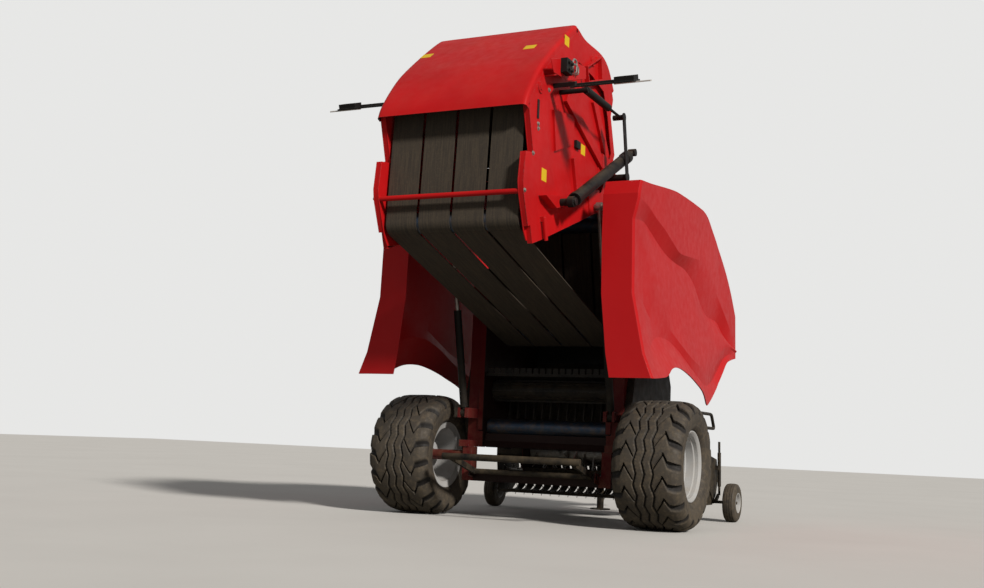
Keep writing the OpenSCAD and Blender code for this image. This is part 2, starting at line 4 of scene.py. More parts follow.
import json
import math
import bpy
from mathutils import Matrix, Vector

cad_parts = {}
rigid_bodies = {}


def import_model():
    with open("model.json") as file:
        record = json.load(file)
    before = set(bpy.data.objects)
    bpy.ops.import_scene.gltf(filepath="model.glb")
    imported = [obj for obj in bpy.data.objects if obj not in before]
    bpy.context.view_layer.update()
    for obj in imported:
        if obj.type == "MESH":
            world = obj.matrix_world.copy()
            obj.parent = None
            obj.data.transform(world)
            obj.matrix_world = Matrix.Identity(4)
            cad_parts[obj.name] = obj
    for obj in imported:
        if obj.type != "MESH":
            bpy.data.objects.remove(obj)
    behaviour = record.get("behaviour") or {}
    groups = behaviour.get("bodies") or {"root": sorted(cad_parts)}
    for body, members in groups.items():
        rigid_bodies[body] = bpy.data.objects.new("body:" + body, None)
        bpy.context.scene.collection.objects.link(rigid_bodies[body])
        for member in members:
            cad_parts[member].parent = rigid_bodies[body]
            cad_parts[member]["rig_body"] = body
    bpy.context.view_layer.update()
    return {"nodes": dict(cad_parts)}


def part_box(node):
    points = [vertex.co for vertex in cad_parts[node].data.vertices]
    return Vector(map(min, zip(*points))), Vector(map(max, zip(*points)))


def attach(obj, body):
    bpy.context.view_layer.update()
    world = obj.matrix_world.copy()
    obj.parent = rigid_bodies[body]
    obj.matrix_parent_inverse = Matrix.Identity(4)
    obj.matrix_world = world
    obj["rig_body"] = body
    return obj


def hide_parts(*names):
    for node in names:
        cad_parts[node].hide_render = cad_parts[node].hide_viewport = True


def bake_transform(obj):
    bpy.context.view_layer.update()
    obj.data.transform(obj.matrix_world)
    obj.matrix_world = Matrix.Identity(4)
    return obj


bl_info = {
    "name": "Round baler finish",
    "version": (1, 0, 0),
    "blender": (4, 5, 0),
    "location": "3D View > Sidebar > Baler",
    "description": "Gives the round baler's frame its finishes and small pieces",
    "category": "Object",
}

import bmesh
import bpy
import numpy as np
from mathutils import Matrix, Vector
from mathutils.geometry import tessellate_polygon

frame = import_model()

# The photograph's camera, in metres and degrees in the row frame
CAMERA_PLACE = (4.284, -10.546, 0.695)
CAMERA_AZIMUTH = 25.93
CAMERA_PITCH = 7.13
CAMERA_ROLL = 2.46
CAMERA_LENS = 43.08
# Where the key lamp stands, as a direction from the baler
KEY_SIDE = Vector((0.74, -0.44, 0.51))
# Side walls and tailgate's sides in mm: inner and outer face, outer face of the flange, sheet and the gap of a seat
WALL_IN, WALL_OUT, FLANGE_X, SHEET, FIT = 610, 620, 660, 6, 0.3
SEAT_X = WALL_IN - FIT
# Outer face of the tensioner's bracket, and where the valve block sits in its plate
BRACKET_X, VALVE_X = 730, FLANGE_X + 89.5

# Finish of each CAD node, by the material slot of the record
NODE_FINISH = {
    "red_paint": ["net_box_lid", "gate_sides", "gate_hood", "gate_bar"],
    # The chassis and frame walls take the frame's red darkened as painted shade
    "dark_red_paint": ["axle", "chassis", "drawbar", "frame_walls"],
    "black_paint": [
        "chamber_front", "jack", "gearbox", "drive_covers", "guard_rails", "feed_housing", "panel_arms",
        "pto_shaft", "starter_roller", "tension_levers", "tension_cylinders", "lift_barrel_right",
        "lift_barrel_left", "pickup_frame", "wind_guard", "kicker",
    ],
    "belt_rubber": ["frame_belts", "crossing_belts", "gate_belts"],
    "tyre_rubber": ["tyre_right", "tyre_left", "gauge_wheel_right", "gauge_wheel_left"],
    "rim_silver": ["rim_right", "rim_left"],
    "bare_steel": ["hitch", "feed_rotor", "lift_rod_right", "lift_rod_left", "pickup_reel"],
    "roller_steel": ["frame_rollers", "floor_roller", "gate_rollers"],
    "panel_red": ["side_panel_right", "side_panel_left"],
    "board_white": ["light_boards"],
}
# Each painted finish: its colour, roughness, clear coat, share of dust, share kept where its tone fades, and the share
# of painted shade with some grime between the side walls
PAINTS = {
    "red_paint": ("paint", 0.40, 0.03, 0.08, 0.82, 0.0),
    # The chassis red is darkened as painted shade, and gets painted shade with some grime between the side walls
    "dark_red_paint": ("shade", 0.45, 0.05, 0.30, 0.80, 0.9),
    "black_paint": ("black", 0.45, 0.05, 0.30, 0.65, 0.0),
    "rim_silver": ("silver", 0.38, 0.10, 0.30, 0.90, 0.0),
    "panel_red": ("panel", 0.34, 0.08, 0.08, 0.92, 0.0),
    "board_white": ("white", 0.40, 0.05, 0.30, 0.90, 0.0),
    "label_yellow": ("label", 0.42, 0.05, 0.20, 0.85, 0.0),
}
# Painted shade with some grime on the chamber's walls, painted shade that lines the underside of the hood, and how much
# of the paint that lining hides
WALL_SHADE_GRIME, LINING_SHADE, LINING_SHADE_SHARE = (0.012, 0.009, 0.008), (0.012, 0.008, 0.007), 0.93
# The painted shade and grime end within the wall's sheet, in metres from the machine's middle
SHADE_GRIME_HALF, SHADE_GRIME_FADE = 0.618, 0.006
# Rust on bare steel, and the painted shade down in the tyres' grooves
RUST, GROOVE_SHADE = (0.16, 0.09, 0.045), (0.010, 0.008, 0.007)
# Reach of the wear at an edge, in metres
WEAR_REACH = 0.004


def colour_property(name, description, default):
    return bpy.props.FloatVectorProperty(
        name=name, description=description, default=default, subtype="COLOR", size=3, min=0, max=1
    )


def length_property(name, description, default):
    return bpy.props.FloatProperty(name=name, description=description, default=default, unit="LENGTH", min=0)


class BalerColours(bpy.types.PropertyGroup):
    """Colours of the finishes, as linear values."""

    paint: colour_property("Paint", "Red paint of the frame and the tailgate", (0.60, 0.009, 0.011))
    panel: colour_property("Panel", "Red of the moulded side panels", (0.58, 0.011, 0.014))
    # The chassis red is the paint's red darkened as painted shade
    shade: colour_property("Chassis", "Darker red of the chassis", (0.13, 0.007, 0.010))
    black: colour_property("Black", "Black paint of cylinders, rails and covers", (0.016, 0.015, 0.015))
    belt: colour_property("Belt", "Rubber of the belts", (0.050, 0.041, 0.033))
    tyre: colour_property("Tyre", "Rubber of the tyres", (0.050, 0.042, 0.034))
    silver: colour_property("Silver", "Paint of the rims", (0.50, 0.51, 0.52))
    steel: colour_property("Steel", "Bare and zinc-plated steel", (0.46, 0.45, 0.43))
    roller: colour_property("Roller", "Blue-grey rollers worn by the belts", (0.045, 0.075, 0.125))
    white: colour_property("Board", "White face of the light boards", (0.72, 0.70, 0.68))
    dust: colour_property("Dust", "Straw dust that lies on everything", (0.36, 0.27, 0.16))
    label: colour_property("Label", "Yellow of the blank labels", (0.86, 0.58, 0.02))


class BalerSizes(bpy.types.PropertyGroup):
    """Sizes of the small forms that the frame doesn't carry."""

    edge: length_property("Edge", "Rounding of the edges of sheet and bar", 0.003)
    lugs: bpy.props.IntProperty(
        name="Lugs", description="Lugs round one shoulder of a tyre", default=18, min=12, max=24
    )
    tread: length_property("Tread", "Depth of the grooves at the tyre's shoulder", 0.030)
    groove: length_property("Groove", "Depth of the zigzag grooves round the tyre's middle", 0.018)


class BalerStudio(bpy.types.PropertyGroup):
    """Floor and light."""

    floor_size: length_property("Floor", "Side of the square floor", 90.0)
    key_power: bpy.props.FloatProperty(
        name="Key lamp", description="Strength of the high lamp behind the camera on the right", default=3.1, min=0
    )
    key_width: bpy.props.FloatProperty(
        name="Key width", description="How wide the key lamp looks, which softens its shadows",
        default=math.radians(7), subtype="ANGLE", min=0
    )
    world_light: bpy.props.FloatProperty(
        name="World", description="Strength of the even light from all round", default=0.17, min=0
    )


class Nodes:
    """Short calls to build the nodes of a material or of the world."""

    def __init__(self, owner):
        owner.use_nodes = True
        self.tree = owner.node_tree

    def add(self, kind, **settings):
        node = self.tree.nodes.new(kind)
        for key, value in settings.items():
            setattr(node, key, value)
        return node

    def join(self, source, target):
        self.tree.links.new(source, target)

    def maths(self, operation, *values):
        node = self.add("ShaderNodeMath", operation=operation)
        for socket, value in zip(node.inputs, values):
            if isinstance(value, bpy.types.NodeSocket):
                self.join(value, socket)
            else:
                socket.default_value = value
        return node.outputs["Value"]


class FinishNodes(Nodes):
    """Nodes of one finish, which lies on the object by its place in space."""

    def __init__(self, name):
        self.material = bpy.data.materials.new(f"{name}_finish")
        super().__init__(self.material)
        self.shader = self.tree.nodes["Principled BSDF"]
        self.place = self.add("ShaderNodeTexCoord").outputs["Object"]

    def noise(self, scale, detail=4.0, rough=0.55, stretch=None):
        node = self.add("ShaderNodeTexNoise")
        node.inputs["Scale"].default_value = scale
        node.inputs["Detail"].default_value = detail
        node.inputs["Roughness"].default_value = rough
        place = self.place
        if stretch:
            mapping = self.add("ShaderNodeMapping")
            mapping.inputs["Scale"].default_value = stretch
            self.join(place, mapping.inputs["Vector"])
            place = mapping.outputs["Vector"]
        self.join(place, node.inputs["Vector"])
        return node.outputs["Fac"]

    def ramp(self, source, low, high, start=0.0, end=1.0):
        node = self.add("ShaderNodeMapRange")
        self.join(source, node.inputs["Value"])
        for socket, value in zip(("From Min", "From Max", "To Min", "To Max"), (low, high, start, end)):
            node.inputs[socket].default_value = value
        return node.outputs["Result"]

    def times(self, a, b):
        return self.maths("MULTIPLY", a, b)

    def mix(self, share, a, b):
        node = self.add("ShaderNodeMix", data_type="RGBA")
        self.join(share, node.inputs["Factor"])
        for socket, value in ((node.inputs[6], a), (node.inputs[7], b)):
            if isinstance(value, bpy.types.NodeSocket):
                self.join(value, socket)
            else:
                socket.default_value = (*value, 1.0)
        return node.outputs[2]

    def bump(self, height, strength, distance):
        node = self.add("ShaderNodeBump")
        node.inputs["Strength"].default_value = strength
        node.inputs["Distance"].default_value = distance
        self.join(height, node.inputs["Height"])
        self.join(node.outputs["Normal"], self.shader.inputs["Normal"])

    def one_of(self, vector, axis):
        split = self.add("ShaderNodeSeparateXYZ")
        self.join(vector, split.inputs["Vector"])
        return split.outputs[axis]

    def normal(self):
        return self.add("ShaderNodeNewGeometry").outputs["Normal"]

    def upward(self):
        """How far the surface faces up, from 0 to 1."""
        return self.ramp(self.one_of(self.normal(), "Z"), 0.1, 1.0)

    def lowness(self, from_z, to_z):
        """Rises from 0 to 1 as the surface gets nearer to the ground."""
        return self.ramp(self.one_of(self.place, "Z"), from_z, to_z)

    def inside(self):
        """1 between the two side walls, where no lamp reaches and dust clings, so the paint gets painted shade with
        some grime there, and 0 outside them.
        """
        away = self.maths("ABSOLUTE", self.one_of(self.place, "X"))
        return self.ramp(away, SHADE_GRIME_HALF, SHADE_GRIME_HALF - SHADE_GRIME_FADE)

    def worn_edges(self, amount):
        """Bright within a few millimetres of an edge, broken up by noise."""
        rounded = self.add("ShaderNodeBevel", samples=4)
        rounded.inputs["Radius"].default_value = WEAR_REACH
        alike = self.add("ShaderNodeVectorMath", operation="DOT_PRODUCT")
        self.join(rounded.outputs["Normal"], alike.inputs[0])
        self.join(self.normal(), alike.inputs[1])
        edges = self.ramp(alike.outputs["Value"], 0.99, 0.90)
        return self.times(self.times(edges, self.ramp(self.noise(60.0), 0.45, 0.6)), amount)


def darker(colour, share):
    return tuple(c * share for c in colour)


def painted(name, colour, dust, rough, coat, dust_share, fade, shade_and_grime):
    """Sprayed paint: soft change of tone, dust where it settles, faint ripple, painted shade with some grime between
    the side walls, and painted shade on an inner face that is marked for it.
    """
    n = FinishNodes(name)
    tone = n.mix(n.ramp(n.noise(1.7), 0.35, 0.7), colour, darker(colour, fade))
    edges = n.mix(n.worn_edges(0.5), tone, darker((1, 1, 1), 0.22))
    settled = n.times(n.ramp(n.noise(5.0, 8.0, 0.7), 0.42, 0.75), n.upward())
    low = n.times(n.ramp(n.noise(9.0, 6.0, 0.65), 0.35, 0.75), n.lowness(1.6, 0.2))
    dust_and_shade = n.mix(n.times(settled, dust_share), edges, dust)
    dust_and_shade = n.mix(n.times(low, dust_share), dust_and_shade, dust)
    if shade_and_grime:
        # Painted shade, with some grime, on the paint between the side walls
        dust_and_shade = n.mix(n.times(n.inside(), shade_and_grime), dust_and_shade, WALL_SHADE_GRIME)
    # Painted shade on an inner face whose points are marked for it
    shade_layer = n.add("ShaderNodeAttribute", attribute_name="grime")
    dust_and_shade = n.mix(n.times(shade_layer.outputs["Fac"], LINING_SHADE_SHARE), dust_and_shade, LINING_SHADE)
    n.join(dust_and_shade, n.shader.inputs["Base Color"])
    n.join(n.ramp(n.noise(14.0, 6.0), 0.3, 0.75, rough, rough + 0.18), n.shader.inputs["Roughness"])
    n.shader.inputs["Specular IOR Level"].default_value = 0.15
    n.shader.inputs["Coat Weight"].default_value = coat
    n.shader.inputs["Coat Roughness"].default_value = 0.16
    n.bump(n.noise(38.0, 3.0), 0.06, 0.004)


def belt_rubber(name, colour, dust):
    """Ribbed rubber of the bale belts, with straw dust in bands along them."""
    n = FinishNodes(name)
    streak = n.ramp(n.noise(3.0, 6.0, 0.6, (26.0, 1.2, 1.2)), 0.40, 0.72)
    fine = n.ramp(n.noise(70.0, 4.0, 0.7), 0.5, 0.72)
    tone = n.mix(n.times(streak, 0.12), colour, dust)
    tone = n.mix(n.times(fine, 0.08), tone, dust)
    n.join(tone, n.shader.inputs["Base Color"])
    n.shader.inputs["Roughness"].default_value = 0.82
    n.shader.inputs["Specular IOR Level"].default_value = 0.3
    ribs = n.add("ShaderNodeTexWave", wave_type="BANDS", bands_direction="X")
    ribs.inputs["Scale"].default_value = 40.0
    ribs.inputs["Distortion"].default_value = 0.6
    n.join(n.place, ribs.inputs["Vector"])
    n.bump(ribs.outputs["Fac"], 0.45, 0.0015)


def tyre_rubber(name, colour, dust):
    """Tyre rubber, dusty on its faces and walls, with painted shade down in its grooves."""
    n = FinishNodes(name)
    low = n.times(n.ramp(n.noise(7.0, 8.0, 0.7), 0.35, 0.7), n.lowness(1.3, 0.0))
    patch = n.ramp(n.noise(22.0, 8.0, 0.72), 0.48, 0.72)
    tone = n.mix(n.times(patch, 0.24), colour, dust)
    tone = n.mix(n.times(low, 0.18), tone, dust)
    sunk = n.add("ShaderNodeAttribute", attribute_name="groove")
    # Painted shade, deepest where the groove is deepest
    tone = n.mix(n.ramp(sunk.outputs["Fac"], 0.25, 0.9), tone, GROOVE_SHADE)
    n.join(tone, n.shader.inputs["Base Color"])
    n.join(n.ramp(n.noise(30.0), 0.3, 0.7, 0.62, 0.86), n.shader.inputs["Roughness"])
    n.bump(n.noise(170.0, 3.0), 0.25, 0.002)


def bare_metal(name, colour, dust, rough, metal):
    """Steel worn bright, with stains and a thin brown film."""
    n = FinishNodes(name)
    stain = n.ramp(n.noise(24.0, 8.0, 0.7), 0.45, 0.7)
    tone = n.mix(n.times(stain, 0.55), colour, RUST)
    tone = n.mix(n.times(n.ramp(n.noise(6.0, 6.0), 0.45, 0.8), 0.30), tone, dust)
    n.join(tone, n.shader.inputs["Base Color"])
    n.shader.inputs["Metallic"].default_value = metal
    n.join(n.ramp(n.noise(40.0, 6.0), 0.3, 0.7, rough, rough + 0.25), n.shader.inputs["Roughness"])
    n.bump(n.noise(120.0, 3.0, 0.6, (1.0, 14.0, 1.0)), 0.12, 0.002)


def make_finishes():
    """Makes the ten finishes of the record's slots, and the label yellow."""
    colours = bpy.context.scene.baler_colours
    dust = tuple(colours.dust)
    for name, (colour, *look) in PAINTS.items():
        painted(name, tuple(getattr(colours, colour)), dust, *look)
    belt_rubber("belt_rubber", tuple(colours.belt), dust)
    tyre_rubber("tyre_rubber", tuple(colours.tyre), dust)
    bare_metal("bare_steel", tuple(colours.steel), dust, 0.34, 0.9)
    bare_metal("roller_steel", tuple(colours.roller), dust, 0.30, 0.7)


def finish(slot):
    """Finish of a slot; the frame's own plain materials hold the bare names."""
    name = f"{slot}_finish"
    if name not in bpy.data.materials:
        make_finishes()
    return bpy.data.materials[name]


def add_piece(name, mesh, body, slot, replaces=(), sharp=35.0):
    """Links a mesh as a piece that rides on a body, if one is given, smooth except at edges sharper than the angle."""
    mesh.materials.clear()
    mesh.materials.append(finish(slot))
    mesh.polygons.foreach_set("use_smooth", [True] * len(mesh.polygons))
    mesh.set_sharp_from_angle(angle=math.radians(sharp))
    piece = bpy.data.objects.new(name, mesh)
    bpy.context.scene.collection.objects.link(piece)
    if body:
        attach(piece, body)
    if replaces:
        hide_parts(*replaces)
    return piece


def body_of_node(node):
    return frame["nodes"][node]["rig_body"]


def middle_and_half(node):
    low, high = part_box(node)
    return (low + high) / 2, (high - low) / 2


def grid_mesh(name, points, closed_rows):
    """Mesh of a grid of points, given as rows x columns x 3, whose columns close on themselves."""
    rows, cols, _ = points.shape
    i, j = np.meshgrid(np.arange(rows if closed_rows else rows - 1), np.arange(cols), indexing="ij")
    up, on = (i + 1) % rows, (j + 1) % cols
    quads = np.stack([i * cols + j, i * cols + on, up * cols + on, up * cols + j], -1).reshape(-1, 4)
    mesh = bpy.data.meshes.new(name)
    mesh.from_pydata(points.reshape(-1, 3).tolist(), [], quads.tolist())
    mesh.validate()
    return mesh


def turned(name, profile, centre, count=96):
    """Ring turned round the wheel's axis from a closed outline of [across, radius] in mm, across away from x = 0."""
    turn = np.linspace(0, 2 * math.pi, count, endpoint=False)
    across, radius = (np.array(profile, float) * 0.001).T
    side = 1 if centre.x > 0 else -1
    points = np.empty((len(profile), count, 3))
    points[..., 0] = centre.x + side * across[:, None]
    points[..., 1] = centre.y + side * radius[:, None] * np.cos(turn)
    points[..., 2] = centre.z + radius[:, None] * np.sin(turn)
    return grid_mesh(name, points, True)


def zigzag(turn):
    """Runs between -1 and 1 in straight pieces, once up and once down in each turn."""
    return 4 * np.abs(turn - np.floor(turn + 0.5)) - 1


# A groove reaches its full depth where its wall has come down this share of its half width, from that far out
GROOVE_WALL, GROOVE_REACH = 0.9, 1.45


def groove(distance, half_width, depth):
    """Depth of a groove with sloping walls at a distance from its middle line."""
    return depth * np.clip(GROOVE_REACH - distance / half_width, 0, GROOVE_WALL) / GROOVE_WALL


class FitTyres(bpy.types.Operator):
    """Cuts the tread of both tyres"""

    bl_idname = "baler.fit_tyres"
    bl_label = "Fit the tyres"

    # Across from the tyre's middle and radius, in mm, where the tread's face lies
    FACE = ((0, 150, 200, 240, 268, 288, 297), (555, 552, 546, 535, 518, 497, 478))
    # Side wall from the tread's edge down to the bead, in mm
    WALL = (
        (299, 468), (300, 460), (298, 457), (299, 440), (300, 425), (299, 405), (296, 385), (291, 365), (288, 356),
        (289, 350), (285, 342), (277, 328), (266, 317), (254, 310), (245, 306), (242, 300), (241, 285),
    )
    INNER = ((180, 285), (0, 287))
    # A shoulder lug is a chevron: across in mm, and how far it has dropped from its point, as share of the pitch
    DROP = ((60, 92, 165, 205, 290, 310), (0.85, 0.62, 0.0, 0.46, 0.62, 0.64))
    # Groove between two lugs, along the tyre in mm: half its width, and the length of its gentle wall
    WIDTH = ((85, 150, 175, 205, 240, 300), (11, 14, 22, 34, 38, 42))
    SLOPE = ((85, 150, 200, 300), (6, 9, 34, 52))
    # Zigzag grooves round the middle: place across, swing to each side and half width, in mm
    RINGS, SWING, RING_HALF = (0, 76), 13, 8
    # Radius and half width of the tread in mm, its steps across and along each lug
    RADIUS, EDGE, STEPS, LUG_STEPS = 555, 297, 85, 36
    # Radii in mm between which the grooves run out, and the groove depth in mm at which the painted shade is full
    FADE, DARK_DEPTH = (440, 490), 18

    def execute(self, context):
        sizes = context.scene.baler_sizes
        for side in ("right", "left"):
            node = f"tyre_{side}"
            centre, half = middle_and_half(node)
            scale = half.z * 1000 / self.RADIUS
            face = np.linspace(-self.EDGE, self.EDGE, self.STEPS)
            wall = self.WALL + self.INNER
            across = np.concatenate([[-a for a, _ in reversed(wall[:-1])], face, [a for a, _ in wall]])
            radius = np.interp(np.abs(across), *self.FACE)
            radius[: len(wall) - 1] = [r for _, r in reversed(wall[:-1])]
            radius[-len(wall):] = [r for _, r in wall]
            turn = np.linspace(0, sizes.lugs, sizes.lugs * self.LUG_STEPS, endpoint=False)
            depth = self.cut(turn[None, :], across[:, None], sizes) * 1000
            fade = np.interp(radius, self.FADE, (0, 1))
            reach = (radius[:, None] - depth * fade[:, None]) * 0.001 * scale
            angle = turn / sizes.lugs * 2 * math.pi
            mirror = 1 if side == "right" else -1
            points = np.empty((*depth.shape, 3))
            points[..., 0] = centre.x + mirror * across[:, None] * 0.001
            points[..., 1] = centre.y + reach * np.cos(angle) * mirror
            points[..., 2] = centre.z + reach * np.sin(angle)
            mesh = grid_mesh(f"tread_{side}", points, True)
            # Groove depth, which the rubber turns into painted shade
            sunk = mesh.attributes.new("groove", "FLOAT", "POINT")
            sunk.data.foreach_set("value", (depth * fade[:, None] / self.DARK_DEPTH).clip(0, 1).ravel())
            add_piece(f"tread_{side}", mesh, body_of_node(node), "tyre_rubber", [node], 42.0)
        return {"FINISHED"}

    def cut(self, turn, across, sizes):
        """Depth of the tread's grooves in metres."""
        a = np.abs(across)
        u = turn + np.where(across < 0, 0.5, 0.0)
        pitch = 2 * math.pi * self.RADIUS / sizes.lugs
        depth = np.zeros_like(u)
        for ring in self.RINGS:
            near = across if ring == 0 else a
            wave = turn if ring == 0 else u
            away = np.abs(near - ring - self.SWING * zigzag(wave + 0.12))
            depth = np.maximum(depth, groove(away, self.RING_HALF, sizes.groove))
        along = u - np.interp(a, *self.DROP) - 0.5
        along = (along - np.round(along)) * pitch
        half = np.interp(a, *self.WIDTH)
        steep = (along + half) / 7
        gentle = (half - along) / np.interp(a, *self.SLOPE)
        shoulder = sizes.tread * np.clip(np.minimum(steep, gentle), 0, 1) * np.clip((a - 84) / 10, 0, 1)
        return np.maximum(depth, shoulder)


class FitRims(bpy.types.Operator):
    """Turns the rims of the main wheels and of the gauge wheels"""

    bl_idname = "baler.fit_rims"
    bl_label = "Fit the rims"

    # Closed outlines of [across, radius] in mm, from the outer lip inward and back
    RIM = (
        (243, 286), (246, 298), (251, 305), (256, 304), (257, 297), (252, 287), (243, 280), (236, 274), (205, 272),
        (196, 262), (130, 260), (122, 251), (62, 249), (52, 240), (47, 228), (44, 150), (60, 124), (92, 120),
        (98, 112), (98, 84), (126, 80), (132, 74), (132, 1), (60, 1), (60, 60), (-90, 60), (-90, 124), (24, 124),
        (30, 228), (36, 246), (-232, 250), (-246, 296), (-254, 304), (-246, 305), (-240, 285),
    )
    GAUGE_TYRE = (
        (60, 96), (62, 112), (60, 150), (56, 172), (47, 184), (40, 187), (38, 183), (34, 183), (32, 188), (18, 190),
        (16, 185), (12, 185), (10, 190), (-10, 190), (-12, 185), (-16, 185), (-18, 190), (-32, 188), (-34, 183),
        (-38, 183), (-40, 187), (-47, 184), (-56, 172), (-60, 150), (-62, 112), (-60, 96),
    )
    GAUGE_RIM = (
        (56, 95), (60, 99), (63, 99), (63, 94), (56, 88), (20, 84), (12, 74), (10, 40), (30, 32), (32, 22), (32, 16),
        (-32, 16), (-32, 30), (-8, 40), (-6, 76), (-56, 88), (-62, 96), (-58, 99),
    )

    # Wheel nuts: how many, radius of their circle, how far out they stand, and radius and height of each, in metres
    NUTS, NUT_CIRCLE, NUT_OUT, NUT_SIZE = 8, 0.145, 0.046, (0.015, 0.018)

    def execute(self, context):
        for side in ("right", "left"):
            centre, _ = middle_and_half(f"tyre_{side}")
            body = body_of_node(f"rim_{side}")
            mesh = turned(f"rim_{side}_turned", self.RIM, centre, 128)
            add_piece(f"rim_{side}_turned", mesh, body, "rim_silver", [f"rim_{side}"], 28.0)
            self.studs(side, centre, body)
            node = f"gauge_wheel_{side}"
            centre, _ = middle_and_half(node)
            tyre = turned(f"gauge_tyre_{side}", self.GAUGE_TYRE, centre, 72)
            add_piece(f"gauge_tyre_{side}", tyre, body_of_node(node), "tyre_rubber", [node], 30.0)
            rim = turned(f"gauge_rim_{side}", self.GAUGE_RIM, centre, 72)
            add_piece(f"gauge_rim_{side}", rim, body_of_node(node), "rim_silver", [], 28.0)
        return {"FINISHED"}

    def studs(self, side, centre, body):
        """Wheel nuts round the hub."""
        out = Vector((1 if side == "right" else -1, 0, 0))
        places = []
        for turn in (k * math.tau / self.NUTS for k in range(self.NUTS)):
            round_hub = Vector((0, self.NUT_CIRCLE * math.cos(turn), self.NUT_CIRCLE * math.sin(turn)))
            places.append((centre + out * self.NUT_OUT + round_hub, out))
        add_bolts(f"wheel_nuts_{side}", body, places, *self.NUT_SIZE)


def add_bolt(bm, at, axis, radius, height):
    """Hexagon head on a washer, with a chamfered top."""
    turn = axis.to_track_quat("Z", "Y").to_matrix().to_4x4()
    place = Matrix.Translation(at) @ turn
    for sides, low, high, foot, top in (
        (20, 0.0, 0.2, 1.5, 1.45), (6, 0.2, 0.88, 1.0, 1.0), (6, 0.88, 1.0, 1.0, 0.86),
    ):
        rings = []
        for level, reach in ((low, foot), (high, top)):
            rings.append([
                bm.verts.new(place @ Vector((
                    radius * reach * math.cos(k * math.tau / sides), radius * reach * math.sin(k * math.tau / sides),
                    height * level)))
                for k in range(sides)
            ])
        for k in range(sides):
            bm.faces.new((rings[0][k], rings[0][(k + 1) % sides], rings[1][(k + 1) % sides], rings[1][k]))
        bm.faces.new(rings[1])
        bm.faces.new(rings[0][::-1])


def add_bolts(name, body, places, radius, height):
    """Piece of bolt heads, each given as its place and the way it looks."""
    bm = bmesh.new()
    for at, axis in places:
        add_bolt(bm, at, axis, radius, height)
    mesh = bpy.data.meshes.new(name)
    bm.to_mesh(mesh)
    bm.free()
    add_piece(name, mesh, body, "bare_steel")


# Places of the side view in mm: y forward from the axle and z up; the tailgate's are drawn with it closed
AXLE_Y = sum(corner.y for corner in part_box("tyre_right")) * 500
GATE_PIVOT = np.array((0.0, 267.0, 2750.0))
GATE_OPEN = math.radians(70)


def swung_open(points):
    """Turns points of the closed tailgate to where it stands open."""
    turn = np.array(Matrix.Rotation(-GATE_OPEN, 3, "X"))
    return (np.asarray(points, float) - GATE_PIVOT) @ turn.T + GATE_PIVOT


def rise(x, table, corner=None):
    """Smooth curve through a table of (x, value) that never overshoots, with a corner where one is named."""
    if corner is not None:
        low = [row for row in table if row[0] <= corner]
        high = [row for row in table if row[0] >= corner]
        return np.where(x <= corner, rise(x, low), rise(x, high))
    at, value = np.array(table, float).T
    step = np.diff(at)
    slope = np.diff(value) / step
    tangent = np.concatenate([slope[:1], (slope[:-1] + slope[1:]) / 2, slope[-1:]])
    flat = np.zeros(len(at), bool)
    flat[1:-1] = slope[:-1] * slope[1:] <= 0
    tangent[flat] = 0
    k = np.clip(np.searchsorted(at, x) - 1, 0, len(step) - 1)
    u = (np.clip(x, at[0], at[-1]) - at[k]) / step[k]
    return (
        value[k] * (1 + 2 * u) * (1 - u) ** 2 + tangent[k] * step[k] * u * (1 - u) ** 2
        + value[k + 1] * (3 - 2 * u) * u ** 2 - tangent[k + 1] * step[k] * (1 - u) * u ** 2
    )


def ease(u):
    v = np.clip(u, 0, 1)
    return v * v * (3 - 2 * v)


def bend(points, pieces):
    """Curve through points of the side view, with so many pieces between each two."""
    p = np.array(points, float)
    ends = np.concatenate([p[:1], p, p[-1:]])
    out = []
    for i in range(len(p) - 1):
        a, b, c, d = ends[i:i + 4]
        for u in np.arange(pieces) / pieces:
            cubic = (2 * a - 5 * b + 4 * c - d) * u**2 + (3 * b - a - 3 * c + d) * u**3
            out.append(0.5 * (2 * b + (c - a) * u + cubic))
    return np.array([*out, p[-1]])


